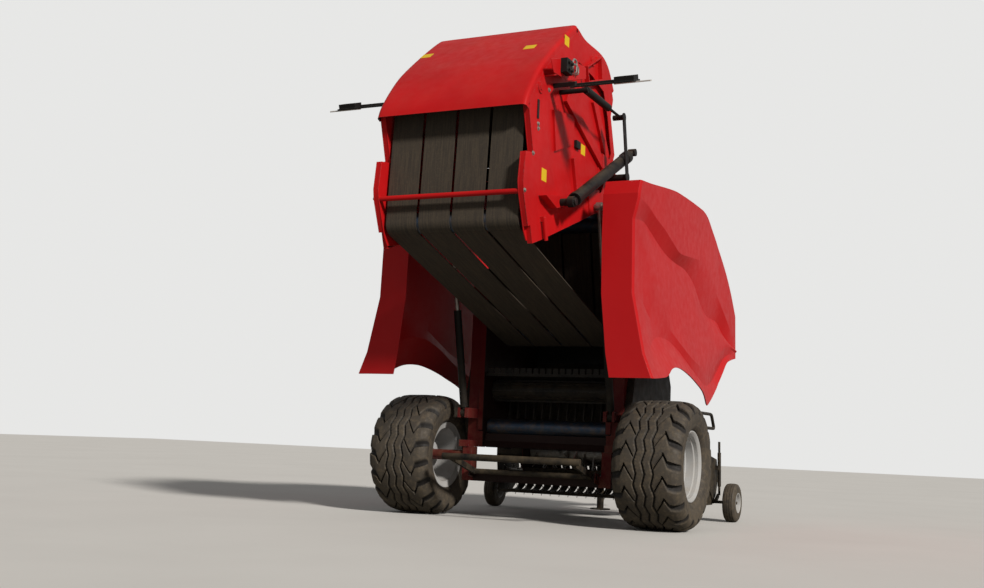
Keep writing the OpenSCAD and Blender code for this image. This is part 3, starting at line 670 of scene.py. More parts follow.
class Maker:
    """Gathers the solids of one piece, in mm, and links them as a piece with its edges broken."""

    def __init__(self, swung=False, mirrored=True):
        self.points, self.solids, self.grime = [], [], []
        self.swung, self.mirrored = swung, mirrored

    def solid(self, points, faces, grime=0):
        """One closed solid; as many of its last points as that count says line the inside, where the paint gets painted
        shade.
        """
        start = len(self.points)
        self.points.extend(tuple(map(float, p)) for p in points)
        self.grime.extend([0.0] * (len(points) - grime) + [1.0] * grime)
        self.solids.append([[start + k for k in face] for face in faces])

    def plate(self, outline, x0, x1, holes=()):
        """Outline of the side view, stood up from one place across to another."""
        loops = [list(map(tuple, loop)) for loop in (outline, *holes)]
        flat = [p for loop in loops for p in loop]
        count = len(flat)
        if holes:
            ends = tessellate_polygon([[Vector((y, z, 0)) for y, z in loop] for loop in loops])
        else:
            ends = [tuple(range(count))]
        faces = [list(end) for end in ends] + [[k + count for k in reversed(end)] for end in ends]
        start = 0
        for loop in loops:
            size = len(loop)
            for k in range(size):
                a, b = start + k, start + (k + 1) % size
                faces.append([a, b, b + count, a + count])
            start += size
        self.solid([(x, y, z) for x in (x0, x1) for y, z in flat], faces)

    def link(self, p, q, height, x0, x1):
        """Flat bar from one point of the side view to another."""
        p, q = np.array(p, float), np.array(q, float)
        along = (q - p) / np.linalg.norm(q - p)
        side = np.array((-along[1], along[0])) * height / 2
        self.plate([p - side, q - side, q + side, p + side], x0, x1)

    def strip(self, line, height, x0, x1):
        """Sheet folded along a line of the side view."""
        for p, q in zip(line, line[1:]):
            self.link(p, q, height, x0, x1)

    def block(self, corners):
        """Block from the four corners of one face and the four of the face across from it."""
        self.solid(corners, [[0, 1, 2, 3], [7, 6, 5, 4], [0, 4, 5, 1], [1, 5, 6, 2], [2, 6, 7, 3], [3, 7, 4, 0]])

    def rod(self, at, radius, x0, x1, count=32):
        turn = np.arange(count) * math.tau / count
        self.plate(np.stack([at[0] + radius * np.cos(turn), at[1] + radius * np.sin(turn)], -1), x0, x1)

    def box(self, low, high):
        self.plate([(low[1], low[2]), (high[1], low[2]), (high[1], high[2]), (low[1], high[2])], low[0], high[0])

    def bar(self, path, radius, count=16, closed=False):
        """Round bar or pipe along a path of points in space, mitred at its bends."""
        path = np.array(path, float)
        size = len(path)
        if closed:
            before, after = path - np.roll(path, 1, 0), np.roll(path, -1, 0) - path
        else:
            steps = np.diff(path, axis=0)
            before, after = np.concatenate([steps[:1], steps]), np.concatenate([steps, steps[-1:]])
        before /= np.linalg.norm(before, axis=1)[:, None]
        after /= np.linalg.norm(after, axis=1)[:, None]
        normal = np.cross(before[0], (0.31, 0.87, 0.39))
        points = []
        for k in range(size):
            normal = normal - before[k] * (normal @ before[k])
            normal /= np.linalg.norm(normal)
            other = np.cross(before[k], normal)
            middle = before[k] + after[k]
            for turn in np.arange(count) * math.tau / count:
                ring = radius * (math.cos(turn) * normal + math.sin(turn) * other)
                points.append(path[k] + ring - before[k] * (ring @ middle) / (before[k] @ middle))
            normal = normal - after[k] * (normal @ middle) / (after[k] @ middle)
        last = size if closed else size - 1
        faces = [
            [i * count + j, i * count + (j + 1) % count, (i + 1) % size * count + (j + 1) % count,
             (i + 1) % size * count + j]
            for i in range(last) for j in range(count)
        ]
        if not closed:
            faces += [list(range(count)), [k + (size - 1) * count for k in reversed(range(count))]]
        self.solid(points, faces)

    def shell(self, grid, inner, shade_lined=False):
        """Sheet between two grids of points, given as columns x rows x 3, whose inner face may get painted shade."""
        cols, rows, _ = grid.shape
        count = cols * rows
        faces = []
        for i in range(cols - 1):
            for j in range(rows - 1):
                a, b, c, d = i * rows + j, i * rows + j + 1, (i + 1) * rows + j + 1, (i + 1) * rows + j
                faces += [[a, b, c, d], [a + count, d + count, c + count, b + count]]
        rim = [i * rows for i in range(cols)] + [(cols - 1) * rows + j for j in range(1, rows)]
        rim += [i * rows + rows - 1 for i in reversed(range(cols - 1))] + [j for j in reversed(range(1, rows - 1))]
        for a, b in zip(rim, rim[1:] + rim[:1]):
            faces.append([a, b, b + count, a + count])
        self.solid([*grid.reshape(-1, 3), *inner.reshape(-1, 3)], faces, count if shade_lined else 0)

    def piece(self, name, body, slot, replaces=(), edge=0.003, angle=50.0):
        points = np.array(self.points)
        if self.swung:
            points = swung_open(points)
        points = (points + (0, AXLE_Y, 0)) * 0.001
        bm = bmesh.new()
        for side in (1, -1) if self.mirrored else (1,):
            verts = [bm.verts.new((side * x, y, z)) for x, y, z in points]
            for solid in self.solids:
                faces = [bm.faces.new([verts[k] for k in face]) for face in solid]
                bmesh.ops.recalc_face_normals(bm, faces=faces)
                middle = sum((face.calc_center_median() for face in faces), Vector()) / len(faces)
                if sum((f.calc_center_median() - middle).dot(f.normal) * f.calc_area() for f in faces) < 0:
                    bmesh.ops.reverse_faces(bm, faces=faces)
        mesh = bpy.data.meshes.new(name)
        bm.to_mesh(mesh)
        bm.free()
        # Marks the points of the inner face, which the paint darkens as painted shade
        if any(self.grime):
            shade_layer = mesh.attributes.new("grime", "FLOAT", "POINT")
            shade_layer.data.foreach_set("value", self.grime * (2 if self.mirrored else 1))
        piece = add_piece(name, mesh, body, slot, replaces, min(angle, 30.0))
        if edge:
            break_edges(piece, edge, angle)
        return piece


def break_edges(piece, width, angle):
    bevel = piece.modifiers.new("edge", "BEVEL")
    bevel.limit_method = "ANGLE"
    bevel.angle_limit = math.radians(angle)
    bevel.width = width
    bevel.segments = 2
    bevel.harden_normals = True


class FitPanels(bpy.types.Operator):
    """Forms the moulded side panels with their creases and hinges"""

    bl_idname = "baler.fit_panels"
    bl_label = "Form the side panels"

    # y, then z of the bottom edge, the arch's crease, the field's crease, foot and top of the step, and the top edge
    LINES = (
        (-900, 1245, 1440, 2420, 2545, 2715, 2872), (-700, 1262, 1500, 2260, 2562, 2690, 2892),
        (-480, 1290, 1590, 1940, 2522, 2630, 2920), (-240, 1372, 1640, 1805, 2450, 2580, 2950),
        (0, 1394, 1630, 1728, 2395, 2515, 2976), (290, 1364, 1560, 1628, 2364, 2447, 2988),
        (600, 1298, 1450, 1530, 2350, 2466, 2994), (930, 1196, 1352, 1476, 2258, 2488, 2996),
        (1045, 1112, 1322, 1474, 2190, 2474, 2992), (1200, 1160, 1312, 1490, 2088, 2438, 2965),
        (1430, 1245, 1352, 1532, 2010, 2338, 2868), (1640, 1330, 1420, 1600, 2002, 2246, 2772),
        (1850, 1462, 1540, 1700, 1985, 2135, 2640), (2040, 1594, 1650, 1760, 1880, 2030, 2500),
        (2220, 1640, 1700, 1750, 1800, 1920, 2330), (2400, 1670, 1700, 1730, 1760, 1830, 2110),
    )
    # How far each line lies inside the outermost face, at the rear edge and along the rest
    DEPTH = ((0, 0), (4, 36), (34, 6), (38, 54), (0, 0), (0, 0))
    # Rows of the sheet as (line below, share of the way to the next line)
    ROWS = (
        (0, 0), (0, 0.5), (1, 0), (1, 0.5), (2, 0), (2, 0.2), (2, 0.4), (2, 0.6), (2, 0.8), (3, 0), (3, 0.5), (4, 0),
        (4, 0.25), (4, 0.5), (4, 0.75), (5, 0),
    )
    TIP = 1045
    REAR_PROFILE = ((1240, 1374), (1543, 1266), (1751, 1218), (1975, 1212), (2455, 1218), (2990, 1226))
    RETURN_EDGE = ((1240, 1006), (1613, 942), (2037, 913), (2872, 910))
    RETURN_Y, FRONT, TOP_IN, THICK, COLUMNS = -940, 2396, 945, 12, 72
    # Where the creases start at the rear and run out at the front, and the length that each takes
    REAR, REAR_RUN, FADE_FROM, FADE_RUN = -900, 520, 1900, 480
    # Pin of the panels' hinge, across and up, its radius, and where its arms stand
    HINGE, PIN, ARMS = (925.0, 2950.0), 9.7, (470, 1070)

    def line(self, y, k):
        return rise(y, [(row[0], row[k + 1]) for row in self.LINES], self.TIP if k < 2 else None)

    def from_rear(self, y):
        return ease((y - self.REAR) / self.REAR_RUN)

    def depth(self, k, y):
        rear, rest = self.DEPTH[k]
        w = self.from_rear(y)
        return (rear * (1 - w) + rest * w) * (1 - ease((y - self.FADE_FROM) / self.FADE_RUN))

    def face(self, y, z):
        """Outermost face, which changes from the rear's profile to the front's slight lean."""
        w = np.clip((y + 200) / 1900, 0, 1)
        return rise(z, self.REAR_PROFILE) * (1 - w) + (1215 - 20 * w * w - 0.02 * (z - 1700)) * w

    def sheet(self, t):
        """Grid of the panel's face at a depth: two columns of the folded rear edge, and then the face."""
        along = np.concatenate([[0, 0], np.linspace(0, 1, self.COLUMNS + 1)])
        y = self.RETURN_Y + 30 + (self.FRONT - self.RETURN_Y - 30) * along
        fold = np.arange(len(along))
        columns = []
        for k, share in (*self.ROWS, (5, 0)):
            columns.append(self.row(along, y, fold, k, share, t, len(columns) == len(self.ROWS)))
        return np.stack(columns, 1)

    def row(self, along, y, fold, k, share, t, top):
        """One row of the sheet: a share of the way from a line to the next, or the top edge that is folded in."""
        on = min(k + 1, 5)
        z = self.line(y, k) * (1 - share) + self.line(y, on) * share
        bulge = 14 * math.sin(math.pi * share) * self.from_rear(y) if k == 2 else 0
        x = self.face(y, z) - self.depth(k, y) * (1 - share) - self.depth(on, y) * share + bulge
        x = x - np.where(fold == 1, 12, 0) - t
        x = np.where(fold == 0, rise(z, self.RETURN_EDGE), x)
        if top:
            x = self.TOP_IN - np.where(fold == 0, 20.0, 0.0)
        lean = np.maximum(0, z - 2760) * 0.45 * (1 - along)
        forward = lean + np.where(fold < 2, self.RETURN_Y + t + (8 if top else 0), y)
        return np.stack([x, forward, z - (t if (k, share) == (5, 0) else 0)], -1)

    def execute(self, context):
        hinge_x, hinge_z = self.HINGE
        for side in ("right", "left"):
            make = Maker(mirrored=False)
            make.shell(self.sheet(0), self.sheet(self.THICK))
            for y in self.ARMS:
                top = float(self.line(np.array([y]), 5)[0]) - 4
                outline = ((hinge_x - 16, hinge_z - 16), (hinge_x - 16, hinge_z + 16), (1000, top), (1000, 2900))
                make.block([(x, y + dy, z) for dy in (FIT, 11) for x, z in outline])
                make.bar([(hinge_x, y - 42, hinge_z), (hinge_x, y + 8, hinge_z)], self.PIN)
            if side == "left":
                make.points = [(-x, y, z) for x, y, z in make.points]
            node = f"side_panel_{side}"
            piece = make.piece(f"{node}_moulded", body_of_node(node), "panel_red", [node], 0.006, 13.0)
            piece.modifiers["edge"].segments = 3
        return {"FINISHED"}


HOOD_LINE = (
    (-978, 788), (-1056, 864), (-1174, 1038), (-1294, 1267), (-1436, 1660), (-1535, 1985), (-1530, 2060),
    (-1420, 2235), (-1285, 2595), (-1150, 2750), (-949, 2832),
)


def hood_curve(depth, pieces=6):
    """Crown line of the hood, or the line that lies so deep inside it."""
    curve = bend(HOOD_LINE, pieces)
    way = np.gradient(curve, axis=0)
    way /= np.linalg.norm(way, axis=1)[:, None]
    return curve + depth * np.stack([way[:, 1], -way[:, 0]], -1)


class FitHood(bpy.types.Operator):
    """Forms the tailgate's hood with its rolled edges"""

    bl_idname = "baler.fit_hood"
    bl_label = "Form the hood"

    # Across in mm, and how deep the sheet lies below its crown there
    ROLL = ((660, 62), (660, 30), (658, 20), (652, 12), (643, 6), (632, 2.5), (618, 1), (530, 0), (300, 0), (100, 0))

    def execute(self, context):
        columns, inner = [], []
        for x, depth in [(-x, d) for x, d in self.ROLL] + [(x, d) for x, d in reversed(self.ROLL)]:
            edge = abs(x) == FLANGE_X
            line, under = hood_curve(depth), hood_curve(depth + (0 if edge else SHEET))
            across = np.full(len(line), float(x))
            columns.append(np.column_stack([across, line]))
            inner.append(np.column_stack([across - (math.copysign(SHEET, x) if edge else 0), under]))
        make = Maker(swung=True, mirrored=False)
        # The hood's inner face is darkened as painted shade
        make.shell(np.array(columns), np.array(inner), True)
        piece = make.piece("hood_rolled", body_of_node("gate_hood"), "red_paint", ["gate_hood"], 0.002, 60.0)
        piece.data.set_sharp_from_angle(angle=math.radians(45))
        return {"FINISHED"}


class FitTailgate(bpy.types.Operator):
    """Builds the tailgate's pressed side plates with their frames, ribs and brackets"""

    bl_idname = "baler.fit_tailgate"
    bl_label = "Build the tailgate's sides"

    FRONT_EDGE = (
        (-721, 2669), (-370, 2676), (67, 2198), (80, 830), (50, 626), (-30, 600), (-337, 585), (-420, 600),
        (-628, 706), (-600, 840),
    )
    WINDOW = (
        (-291, 1207), (-478, 1138), (-852, 1185), (-997, 1256), (-1180, 1700), (-1235, 2000), (-1100, 2300),
        (-950, 2545), (-721, 2590), (-390, 2590), (-90, 2260), (-90, 1300),
    )
    # Lower end, upper end, width and height over the plate of each pressed channel
    CHANNELS = (
        ((-970, 1690), (-327, 2388), 100, 32), ((-893, 2345), (-353, 2537), 96, 26),
        ((-455, 1730), (-100, 1730), 60, 29),
    )
    REAR_ROLLER, TOP_ROLLER = (-1080, 1105), (-1230, 2330)
    STRIP = ((-1160, 1215), (-1165, 1560), (-1215, 1760))
    # Height of the plate's rear end, just over the last point of its front edge
    TAIL = 851
    # Flat plates on the side: outline, inner and outer face
    PLATES = (
        (((-884, 1399), (-796, 1846), (-569, 1711), (-555, 1348)), WALL_OUT - 1, WALL_OUT + 20),
        (((-264, 850), (-171, 1393), (-115, 1414), (-134, 1035)), WALL_OUT - 1, BRACKET_X),
        (
            ((-420, 2380), (-300, 2640), (240, 2818), (310, 2700), (-60, 2330)),
            WALL_OUT + 6, FLANGE_X - SHEET + 2,
        ),
        (((-420, 2380), (-340, 2600), (-60, 2320), (-160, 2250)), WALL_OUT - 1, WALL_OUT + 7),
        (((62, 1880), (62, 2120), (-120, 2160), (-160, 1900)), FLANGE_X - 1, FLANGE_X + 16),
        (((-100, 838), (-100, 866), (-60, 866), (-60, 836)), FLANGE_X - 1, FLANGE_X + 32),
    )
    # Frame round the opening by the upper roller
    FRAME_OUT = ((-1193, 2089), (-1259, 2468), (-1053, 2434), (-1058, 2093))
    FRAME_IN = ((-1181, 2101), (-1245, 2453), (-1065, 2424), (-1070, 2105))
    VALVE_PLATE = ((-1291, 1163), (-1275, 1570), (-1183, 1914), (-1092, 1890), (-1101, 1489), (-1179, 1200))
    # Leaves room for the axle's upright when the tailgate is closed
    AXLE_NOTCH = ((76, 643), (-66, 643), (-66, 600))

    def area(self, inset):
        """Outline of the tailgate's side, as far from the hood's crown as the inset says."""
        (end_y, end_z), (next_y, next_z) = HOOD_LINE[-1], self.FRONT_EDGE[0]
        top = end_z - inset
        line = [tuple(p) for p in hood_curve(inset, 3) if self.TAIL + 4 < p[1] < top - 2]
        reach = end_y + inset / (end_z - next_z) * (next_y - end_y)
        return [*self.FRONT_EDGE, (line[0][0] + 4, self.TAIL), *line, (reach, top)]

    def execute(self, context):
        body = body_of_node("gate_sides")
        inner = Maker(swung=True)
        inner.plate(self.area(SHEET + 1 + FIT), WALL_IN, WALL_OUT)
        inner.piece("gate_plates", body, "red_paint")
        make = Maker(swung=True)
        skin_in = FLANGE_X - SHEET
        border = self.area(62 + FIT)
        at = border.index((80, 830))
        border[at + 1:at + 3] = self.AXLE_NOTCH
        make.plate(border, skin_in, FLANGE_X, [self.WINDOW])
        way = np.array(border, float)
        step = np.roll(way, -1, 0) - np.roll(way, 1, 0)
        step /= np.linalg.norm(step, axis=1)[:, None]
        turning = np.sum(way[:, 0] * np.roll(way[:, 1], -1) - np.roll(way[:, 0], -1) * way[:, 1])
        inward = np.stack([-step[:, 1], step[:, 0]], -1) * (1 if turning > 0 else -1)
        make.plate(way + inward * 1.0, WALL_OUT - 1, skin_in + 1, [way + inward * 9.0])
        for low, high, width, height in self.CHANNELS:
            make.link(low, high, width, WALL_OUT - 1, WALL_OUT + height)
        for outline, inner_face, outer_face in self.PLATES:
            make.plate(outline, inner_face, outer_face)
        make.rod(GATE_PIVOT[1:], 72, WALL_OUT + 6.5, skin_in + 1.5, 40)
        make.rod((-200, 2330), 42, WALL_OUT - 1, FLANGE_X - 2)
        for at in (self.REAR_ROLLER, self.TOP_ROLLER):
            make.rod(at, 46, skin_in - 1, FLANGE_X + 10, 40)
            make.rod(at, 26, skin_in - 1, FLANGE_X + 16, 6)
        make.plate(self.FRAME_OUT, FLANGE_X - 1, FLANGE_X + 40, [self.FRAME_IN])
        make.bar([(FLANGE_X + 30, -90, 852), (FLANGE_X + 30, 90, 846)], 16)
        make.piece("gate_side_frames", body, "red_paint", ["gate_sides"])
        plate = Maker(swung=True, mirrored=False)
        plate.strip(self.STRIP, 10, FLANGE_X + FIT, FLANGE_X + 85)
        plate.plate(self.VALVE_PLATE, FLANGE_X + 84, FLANGE_X + 90)
        plate.piece("valve_plate", body, "red_paint")
        return {"FINISHED"}


class FitBelts(bpy.types.Operator):
    """Lays the four belts round the tailgate's rollers"""

    bl_idname = "baler.fit_belts"
    bl_label = "Lay the belts"

    ROLLERS = ((-110, 690), (-1080, 1105), (-1230, 2330))
    FRONT_ROLLER = (520, 1720)
    # The last is the belt's middle line, from a roller's axis
    WIDTH, PITCH, THICK, REACH = 273, 298, 8, 89.3

    def execute(self, context):
        make = Maker(swung=True, mirrored=False)
        low, rear, top = (np.array(p, float) for p in self.ROLLERS)
        low_open = swung_open([(0, *low)])[0][1:]
        run = np.array(self.FRONT_ROLLER) - low_open
        start = math.atan2(run[1], run[0]) + math.radians(269.2) + GATE_OPEN
        out = self.facing(rear - low)
        up = self.facing(top - rear)
        line = [
            *self.wrap(low, start, out), *self.wrap(rear, out, up), *self.wrap(top, up, math.radians(97)),
            self.around(GATE_PIVOT[1:], math.radians(105)),
        ]
        line = np.array(line)
        way = np.gradient(line, axis=0)
        way /= np.linalg.norm(way, axis=1)[:, None]
        side = np.stack([-way[:, 1], way[:, 0]], -1) * self.THICK / 2
        self.lay(make, line + side, line - side)
        make.piece("tailgate_belts", body_of_node("gate_belts"), "belt_rubber", ["gate_belts"], 0.001)
        self.span(low_open, np.array(self.FRONT_ROLLER))
        return {"FINISHED"}

    def lay(self, make, upper, lower):
        """Four belts side by side between two lines of the side view."""
        for k in (-1.5, -0.5, 0.5, 1.5):
            edges = (k * self.PITCH - self.WIDTH / 2, k * self.PITCH + self.WIDTH / 2)
            make.shell(*(
                np.stack([np.column_stack([np.full(len(line), x), line]) for x in edges], 1)
                for line in (upper, lower)
            ))

    def span(self, rear, front):
        """Straight run between the tailgate's low roller and the frame's front roller."""
        way = (front - rear) / np.linalg.norm(front - rear)
        side = np.array((way[1], -way[0]))
        line = rear + (front - rear) * np.linspace(0, 1, 49)[:, None]
        make = Maker(mirrored=False)
        self.lay(make, *(line + side * (self.REACH + half) for half in (self.THICK / 2, -self.THICK / 2)))
        piece = make.piece("span_belts", None, "belt_rubber", ["crossing_belts"], 0)
        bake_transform(piece)

    def facing(self, way):
        """Angle of the roller's side on which a belt that runs this way lies."""
        return math.atan2(way[1], way[0]) + math.pi / 2

    def wrap(self, centre, start, end):
        """Points of the belt where it lies on a roller; it turns clockwise seen from the right."""
        count = max(4, int(abs(end - start) / 0.12))
        turn = np.linspace(start, end, count)
        return [self.around(centre, a) for a in turn]

    def around(self, centre, angle):
        return centre + self.REACH * np.array((math.cos(angle), math.sin(angle)))


class FitTension(bpy.types.Operator):
    """Builds the belt tensioners on the tailgate's sides: cylinders, levers and gas springs"""

    bl_idname = "baler.fit_tension"
    bl_label = "Build the belt tensioners"

    LEVER_TOP, LEVER_LOW = (-720, 2385), (-200, 2330)
    LOW, HIGH = (-166, 1123), (-379, 2701)
    SPRING = (-1009, 1601)
    # Idlers that the levers press on the belts, inside the tailgate, and their radii
    IDLERS = ((-300, 2345, 60), (-440, 2352, 78))
    ACROSS = 822
    # Start and end along the cylinder, as shares of its length, and radius of barrel, two collars and rod
    CYLINDER = ((0.04, 0.9, 50), (0.04, 0.075, 56), (0.85, 0.905, 57), (0.0, 1.0, 22))

    def execute(self, context):
        x = self.ACROSS
        levers = Maker(swung=True)
        levers.link(self.LEVER_TOP, self.LEVER_LOW, 62, x + 54, x + 66)
        levers.rod(self.LEVER_LOW, 46, x + 53, x + 67)
        levers.rod(self.LEVER_TOP, 38, x + 53, x + 67)
        levers.rod(self.LEVER_LOW, 30, FLANGE_X - 1.7, x + 66.5)
        levers.rod(self.LEVER_TOP, 24, x - 40, x + 66.5)
        low, top = np.array((x + 28.0, *self.SPRING)), np.array((x + 28.0, *self.LEVER_TOP))
        levers.bar([low, low + 0.63 * (top - low)], 32, 24)
        levers.bar([low + 0.62 * (top - low), top], 12)
        levers.rod(self.SPRING, 20, WALL_OUT + FIT, x + 48)
        levers.piece("tension_arms", body_of_node("tension_levers"), "black_paint", ["tension_levers"], 0.002)
        idler = Maker(swung=True, mirrored=False)
        idler.rod(self.LEVER_LOW, 34, -SEAT_X, SEAT_X)
        for y, z, radius in self.IDLERS:
            idler.rod((y, z), radius, -560, 560, 48)
            idler.rod((y, z), 22, -590, 590)
        for side in (-1, 1):
            idler.link(self.LEVER_LOW, self.IDLERS[-1][:2], 70, side * 574 - 7, side * 574 + 7)
        idler.piece("tension_idler", body_of_node("tension_levers"), "black_paint", (), 0.002)
        barrels = Maker(swung=True)
        low, top = np.array((float(x), *self.LOW)), np.array((float(x), *self.HIGH))
        for start, end, radius in self.CYLINDER:
            barrels.bar([low + start * (top - low), low + end * (top - low)], radius, 32)
        barrels.rod(self.LOW, 30, BRACKET_X + FIT, x + 43)
        barrels.rod(self.LOW, 44, x - 26, x + 26)
        barrels.rod(self.HIGH, 34, x - 35, x + 35)
        barrels.piece("tension_barrels", body_of_node("tension_cylinders"), "black_paint", ["tension_cylinders"], 0.002)
        return {"FINISHED"}


class FitBoards(bpy.types.Operator):
    """Builds the light boards with their brackets and lamps"""

    bl_idname = "baler.fit_boards"
    bl_label = "Build the light boards"

    # Height of the boards with the tailgate closed, and where the lamps start
    HEIGHT, LAMP_X = 1392, 1185

    def execute(self, context):
        body, z, lamp = body_of_node("light_boards"), self.HEIGHT, self.LAMP_X
        arms = Maker(swung=True)
        arms.box((FLANGE_X + FIT, -1092, z - 25), (FLANGE_X + 190, -1055, z + 25))
        arms.piece("board_arms", body, "black_paint")
        boards = Maker(swung=True)
        boards.box((FLANGE_X + 170, -1056, z - 75), (FLANGE_X + 690, -1047, z + 75))
        boards.box((lamp - 15, -1047.5, z - 20), (lamp + 285, -1036, z + 14))
        boards.piece("board_faces", body, "board_white", ["light_boards"], 0.002)
        lamps = Maker(swung=True)
        lamps.box((lamp, -1096, z - 55), (lamp + 165, -1055.5, z + 55))
        for dz in (-78, 74):
            lamps.box((FLANGE_X + 166, -1059, z + dz), (FLANGE_X + 694, -1045, z + dz + 5))
        lamps.box((FLANGE_X + 689, -1059, z - 75), (FLANGE_X + 694, -1045, z + 75))
        lamps.box((FLANGE_X + 200, -1076, z - 12), (lamp - 20, -1056, z + 12))
        lamps.piece("board_lamps", body, "black_paint", (), 0.002)
        return {"FINISHED"}


class FitRails(bpy.types.Operator):
    """Bends the guard rails and sets the gauge wheels' struts, the strippers, the belly sheet and the comb"""

    bl_idname = "baler.fit_rails"
    bl_label = "Bend the rails and set the comb"

    LOOP = (
        (720, 1060), (1780, 1060), (1822, 1056), (1850, 1040), (1920, 950), (1930, 934), (1922, 922), (1900, 920),
        (820, 920),
    )
    ACROSS = 1100
    # Outer face of the drive covers, which carry the rails
    COVER_X = FLANGE_X + 176
    # Sheet over the feed, and the sheet under the belly, from the side
    ROOF = ((400, 1350), (430, 1290), (520, 1130), (1000, 900), (1200, 876))
    BELLY = ((150, 770), (146, 700), (112, 648))
    # Strippers of the feed rotor and teeth of the comb: outline, how many, and how far apart
    STRIPPER, STRIPPERS, STRIPPER_PITCH = ((494, 1172), (560, 1112), (492, 920), (448, 920)), 13, 85
    TOOTH, TEETH, TOOTH_PITCH = ((117, 1333), (123, 1333), (123, 1385), (117, 1385)), 18, 66

    def execute(self, context):
        rail = Maker()
        rail.bar([(self.ACROSS, y, z) for y, z in self.LOOP], 16)
        for z in (920, 1060):
            rail.bar([(self.COVER_X + FIT, 900, z), (self.ACROSS, 900, z)], 13)
        rail.piece("rail_loops", body_of_node("guard_rails"), "black_paint", ["guard_rails"], 0)
        struts = Maker()
        struts.link((1900, 190), (2002, 252), 40, 1129, 1152)
        struts.bar([(1152, 2002, 252), (1152, 1964, 789)], 12)
        struts.box((1117, 1960, 505), (1153, 2000, 549))
        struts.bar([(1152, 1996, 340), (1152, 1972, 680)], 18)
        struts.piece("gauge_struts", body_of_node("pickup_frame"), "black_paint", (), 0.002)
        feed = Maker(mirrored=False)
        feed.strip(self.ROOF, 8, -SEAT_X, SEAT_X)
        for k in range(self.STRIPPERS):
            x = (k - 6) * self.STRIPPER_PITCH - 7
            feed.plate(self.STRIPPER, x, x + 14)
        feed.piece("feed_strippers", body_of_node("feed_housing"), "black_paint", (), 0.002)
        belly = Maker(mirrored=False)
        belly.strip(self.BELLY, 6, -SEAT_X, SEAT_X)
        belly.piece("belly_sheet", body_of_node("chassis"), "dark_red_paint", (), 0.001)
        comb = Maker(mirrored=False)
        comb.box((-SEAT_X, 117, 1308), (SEAT_X, 123, 1334))
        for k in range(self.TEETH):
            x = (k - 8.5) * self.TOOTH_PITCH
            comb.plate(self.TOOTH, x - 25, x + 25)
        comb.piece("chamber_comb", body_of_node("chamber_front"), "black_paint", (), 0.002)
        return {"FINISHED"}


class FitFittings(bpy.types.Operator):
    """Sets the blank labels, bolt heads, strap and valve block of the open tailgate"""

    bl_idname = "baler.fit_fittings"
    bl_label = "Set the fittings"

    # Middle, the way the face looks, width and height of each label, in mm with the tailgate open
    LABELS = (
        ((-585, -1361, 3960), (0, -0.62, 0.78), 100, 88), ((415, -1426, 3908), (0, -0.63, 0.78), 100, 82),
        ((660, -1234, 3995), (1, 0, 0), 96, 84), ((660, -1603, 2783), (1, 0, 0), 96, 100),
        ((620, -696, 3209), (1, 0, 0), 96, 90),
    )
    # Bolt heads on the right and left skin: y and z, with the tailgate open
    BOLTS = ((-1567, 3481), (-1829, 2905), (-1957, 2588), (-1755, 3155), (-1748, 3120))

    def execute(self, context):
        body = body_of_node("gate_sides")
        labels = Maker(mirrored=False)
        for middle, way, width, height in self.LABELS:
            self.label(labels, np.array(middle, float), np.array(way, float), width, height)
        piece = labels.piece("blank_labels", body, "board_white", (), 0.0004)
        piece.data.materials[0] = finish("label_yellow")
        places = [
            (Vector((side * (FLANGE_X - 0.2), y + AXLE_Y, z)) * 0.001, Vector((side, 0, 0)))
            for y, z in self.BOLTS for side in (1, -1)
        ]
        add_bolts("gate_bolts", body, places, 0.013, 0.011)
        fittings = Maker(mirrored=False)
        fittings.box((FLANGE_X - 1, -1784, 3195), (FLANGE_X + 9, -1756, 3345))
        fittings.box((VALVE_X, -1560, 3622), (806, -1440, 3738))
        for y, z in ((-1530, 3650), (-1530, 3706), (-1470, 3650), (-1470, 3706)):
            fittings.bar([(800, y, z), (824, y, z)], 13)
        fittings.box((WALL_OUT - 1, -905, 3180), (WALL_OUT + 26, -815, 3244))
        fittings.piece("tailgate_fittings", body, "black_paint", (), 0.002)
        pipes = Maker(mirrored=False)
        for drop, z in ((0, 3706), (40, 3650)):
            pipes.bar(self.pipe(drop, z), 8)
        pipes.piece("valve_pipes", body, "bare_steel", (), 0)
        return {"FINISHED"}

    def label(self, maker, middle, way, width, height):
        """Thin plate that lies on a face, 1.5 mm in it and 1 mm over it."""
        across = np.array((0.0, 1.0, 0.0)) if way[0] else np.array((1.0, 0.0, 0.0))
        up = np.cross(way, across)
        corners = [
            middle + across * width / 2 * a + up * height / 2 * b + way / np.linalg.norm(way) * lift
            for lift in (-1.5, 1.0) for a, b in ((-1, -1), (1, -1), (1, 1), (-1, 1))
        ]
        maker.block(corners)

    def pipe(self, drop, z):
        """Bent steel pipe from the valve block round to its seat on the plate."""
        y, top = -1300 + drop, 3790 - drop
        bend_line = (
            (-1450, z), (-1418, z), (-1392, (z + top) / 2), (-1370, top - 12), (-1350, top), (y - 24, top),
            (y - 7, top - 7), (y, top - 24), (y, 3706),
        )
        return [*((780, *at) for at in bend_line), (776, y, 3694), (766, y, 3688), (VALVE_X, y, 3688)]


class SoftenEdges(bpy.types.Operator):
    """Breaks the sharp edges of sheet and bar, so that they catch the light"""

    bl_idname = "baler.soften_edges"
    bl_label = "Break the edges"

    NODES = (
        "frame_walls", "chassis", "axle", "drawbar", "net_box_lid", "drive_covers", "kicker", "panel_arms",
        "gearbox", "hitch", "jack", "chamber_front", "feed_housing",
    )

    def execute(self, context):
        width = context.scene.baler_sizes.edge
        for name in self.NODES:
            node = frame["nodes"][name]
            weld = node.modifiers.new("weld", "WELD")
            weld.merge_threshold = 0.00002
            break_edges(node, width, 50.0)
        return {"FINISHED"}


class PaintNodes(bpy.types.Operator):
    """Gives every CAD node its finish"""

    bl_idname = "baler.paint_nodes"
    bl_label = "Paint the frame"

    def execute(self, context):
        for slot, names in NODE_FINISH.items():
            for name in names:
                node = frame["nodes"][name]
                node.data.materials.clear()
                node.data.materials.append(finish(slot))
        return {"FINISHED"}


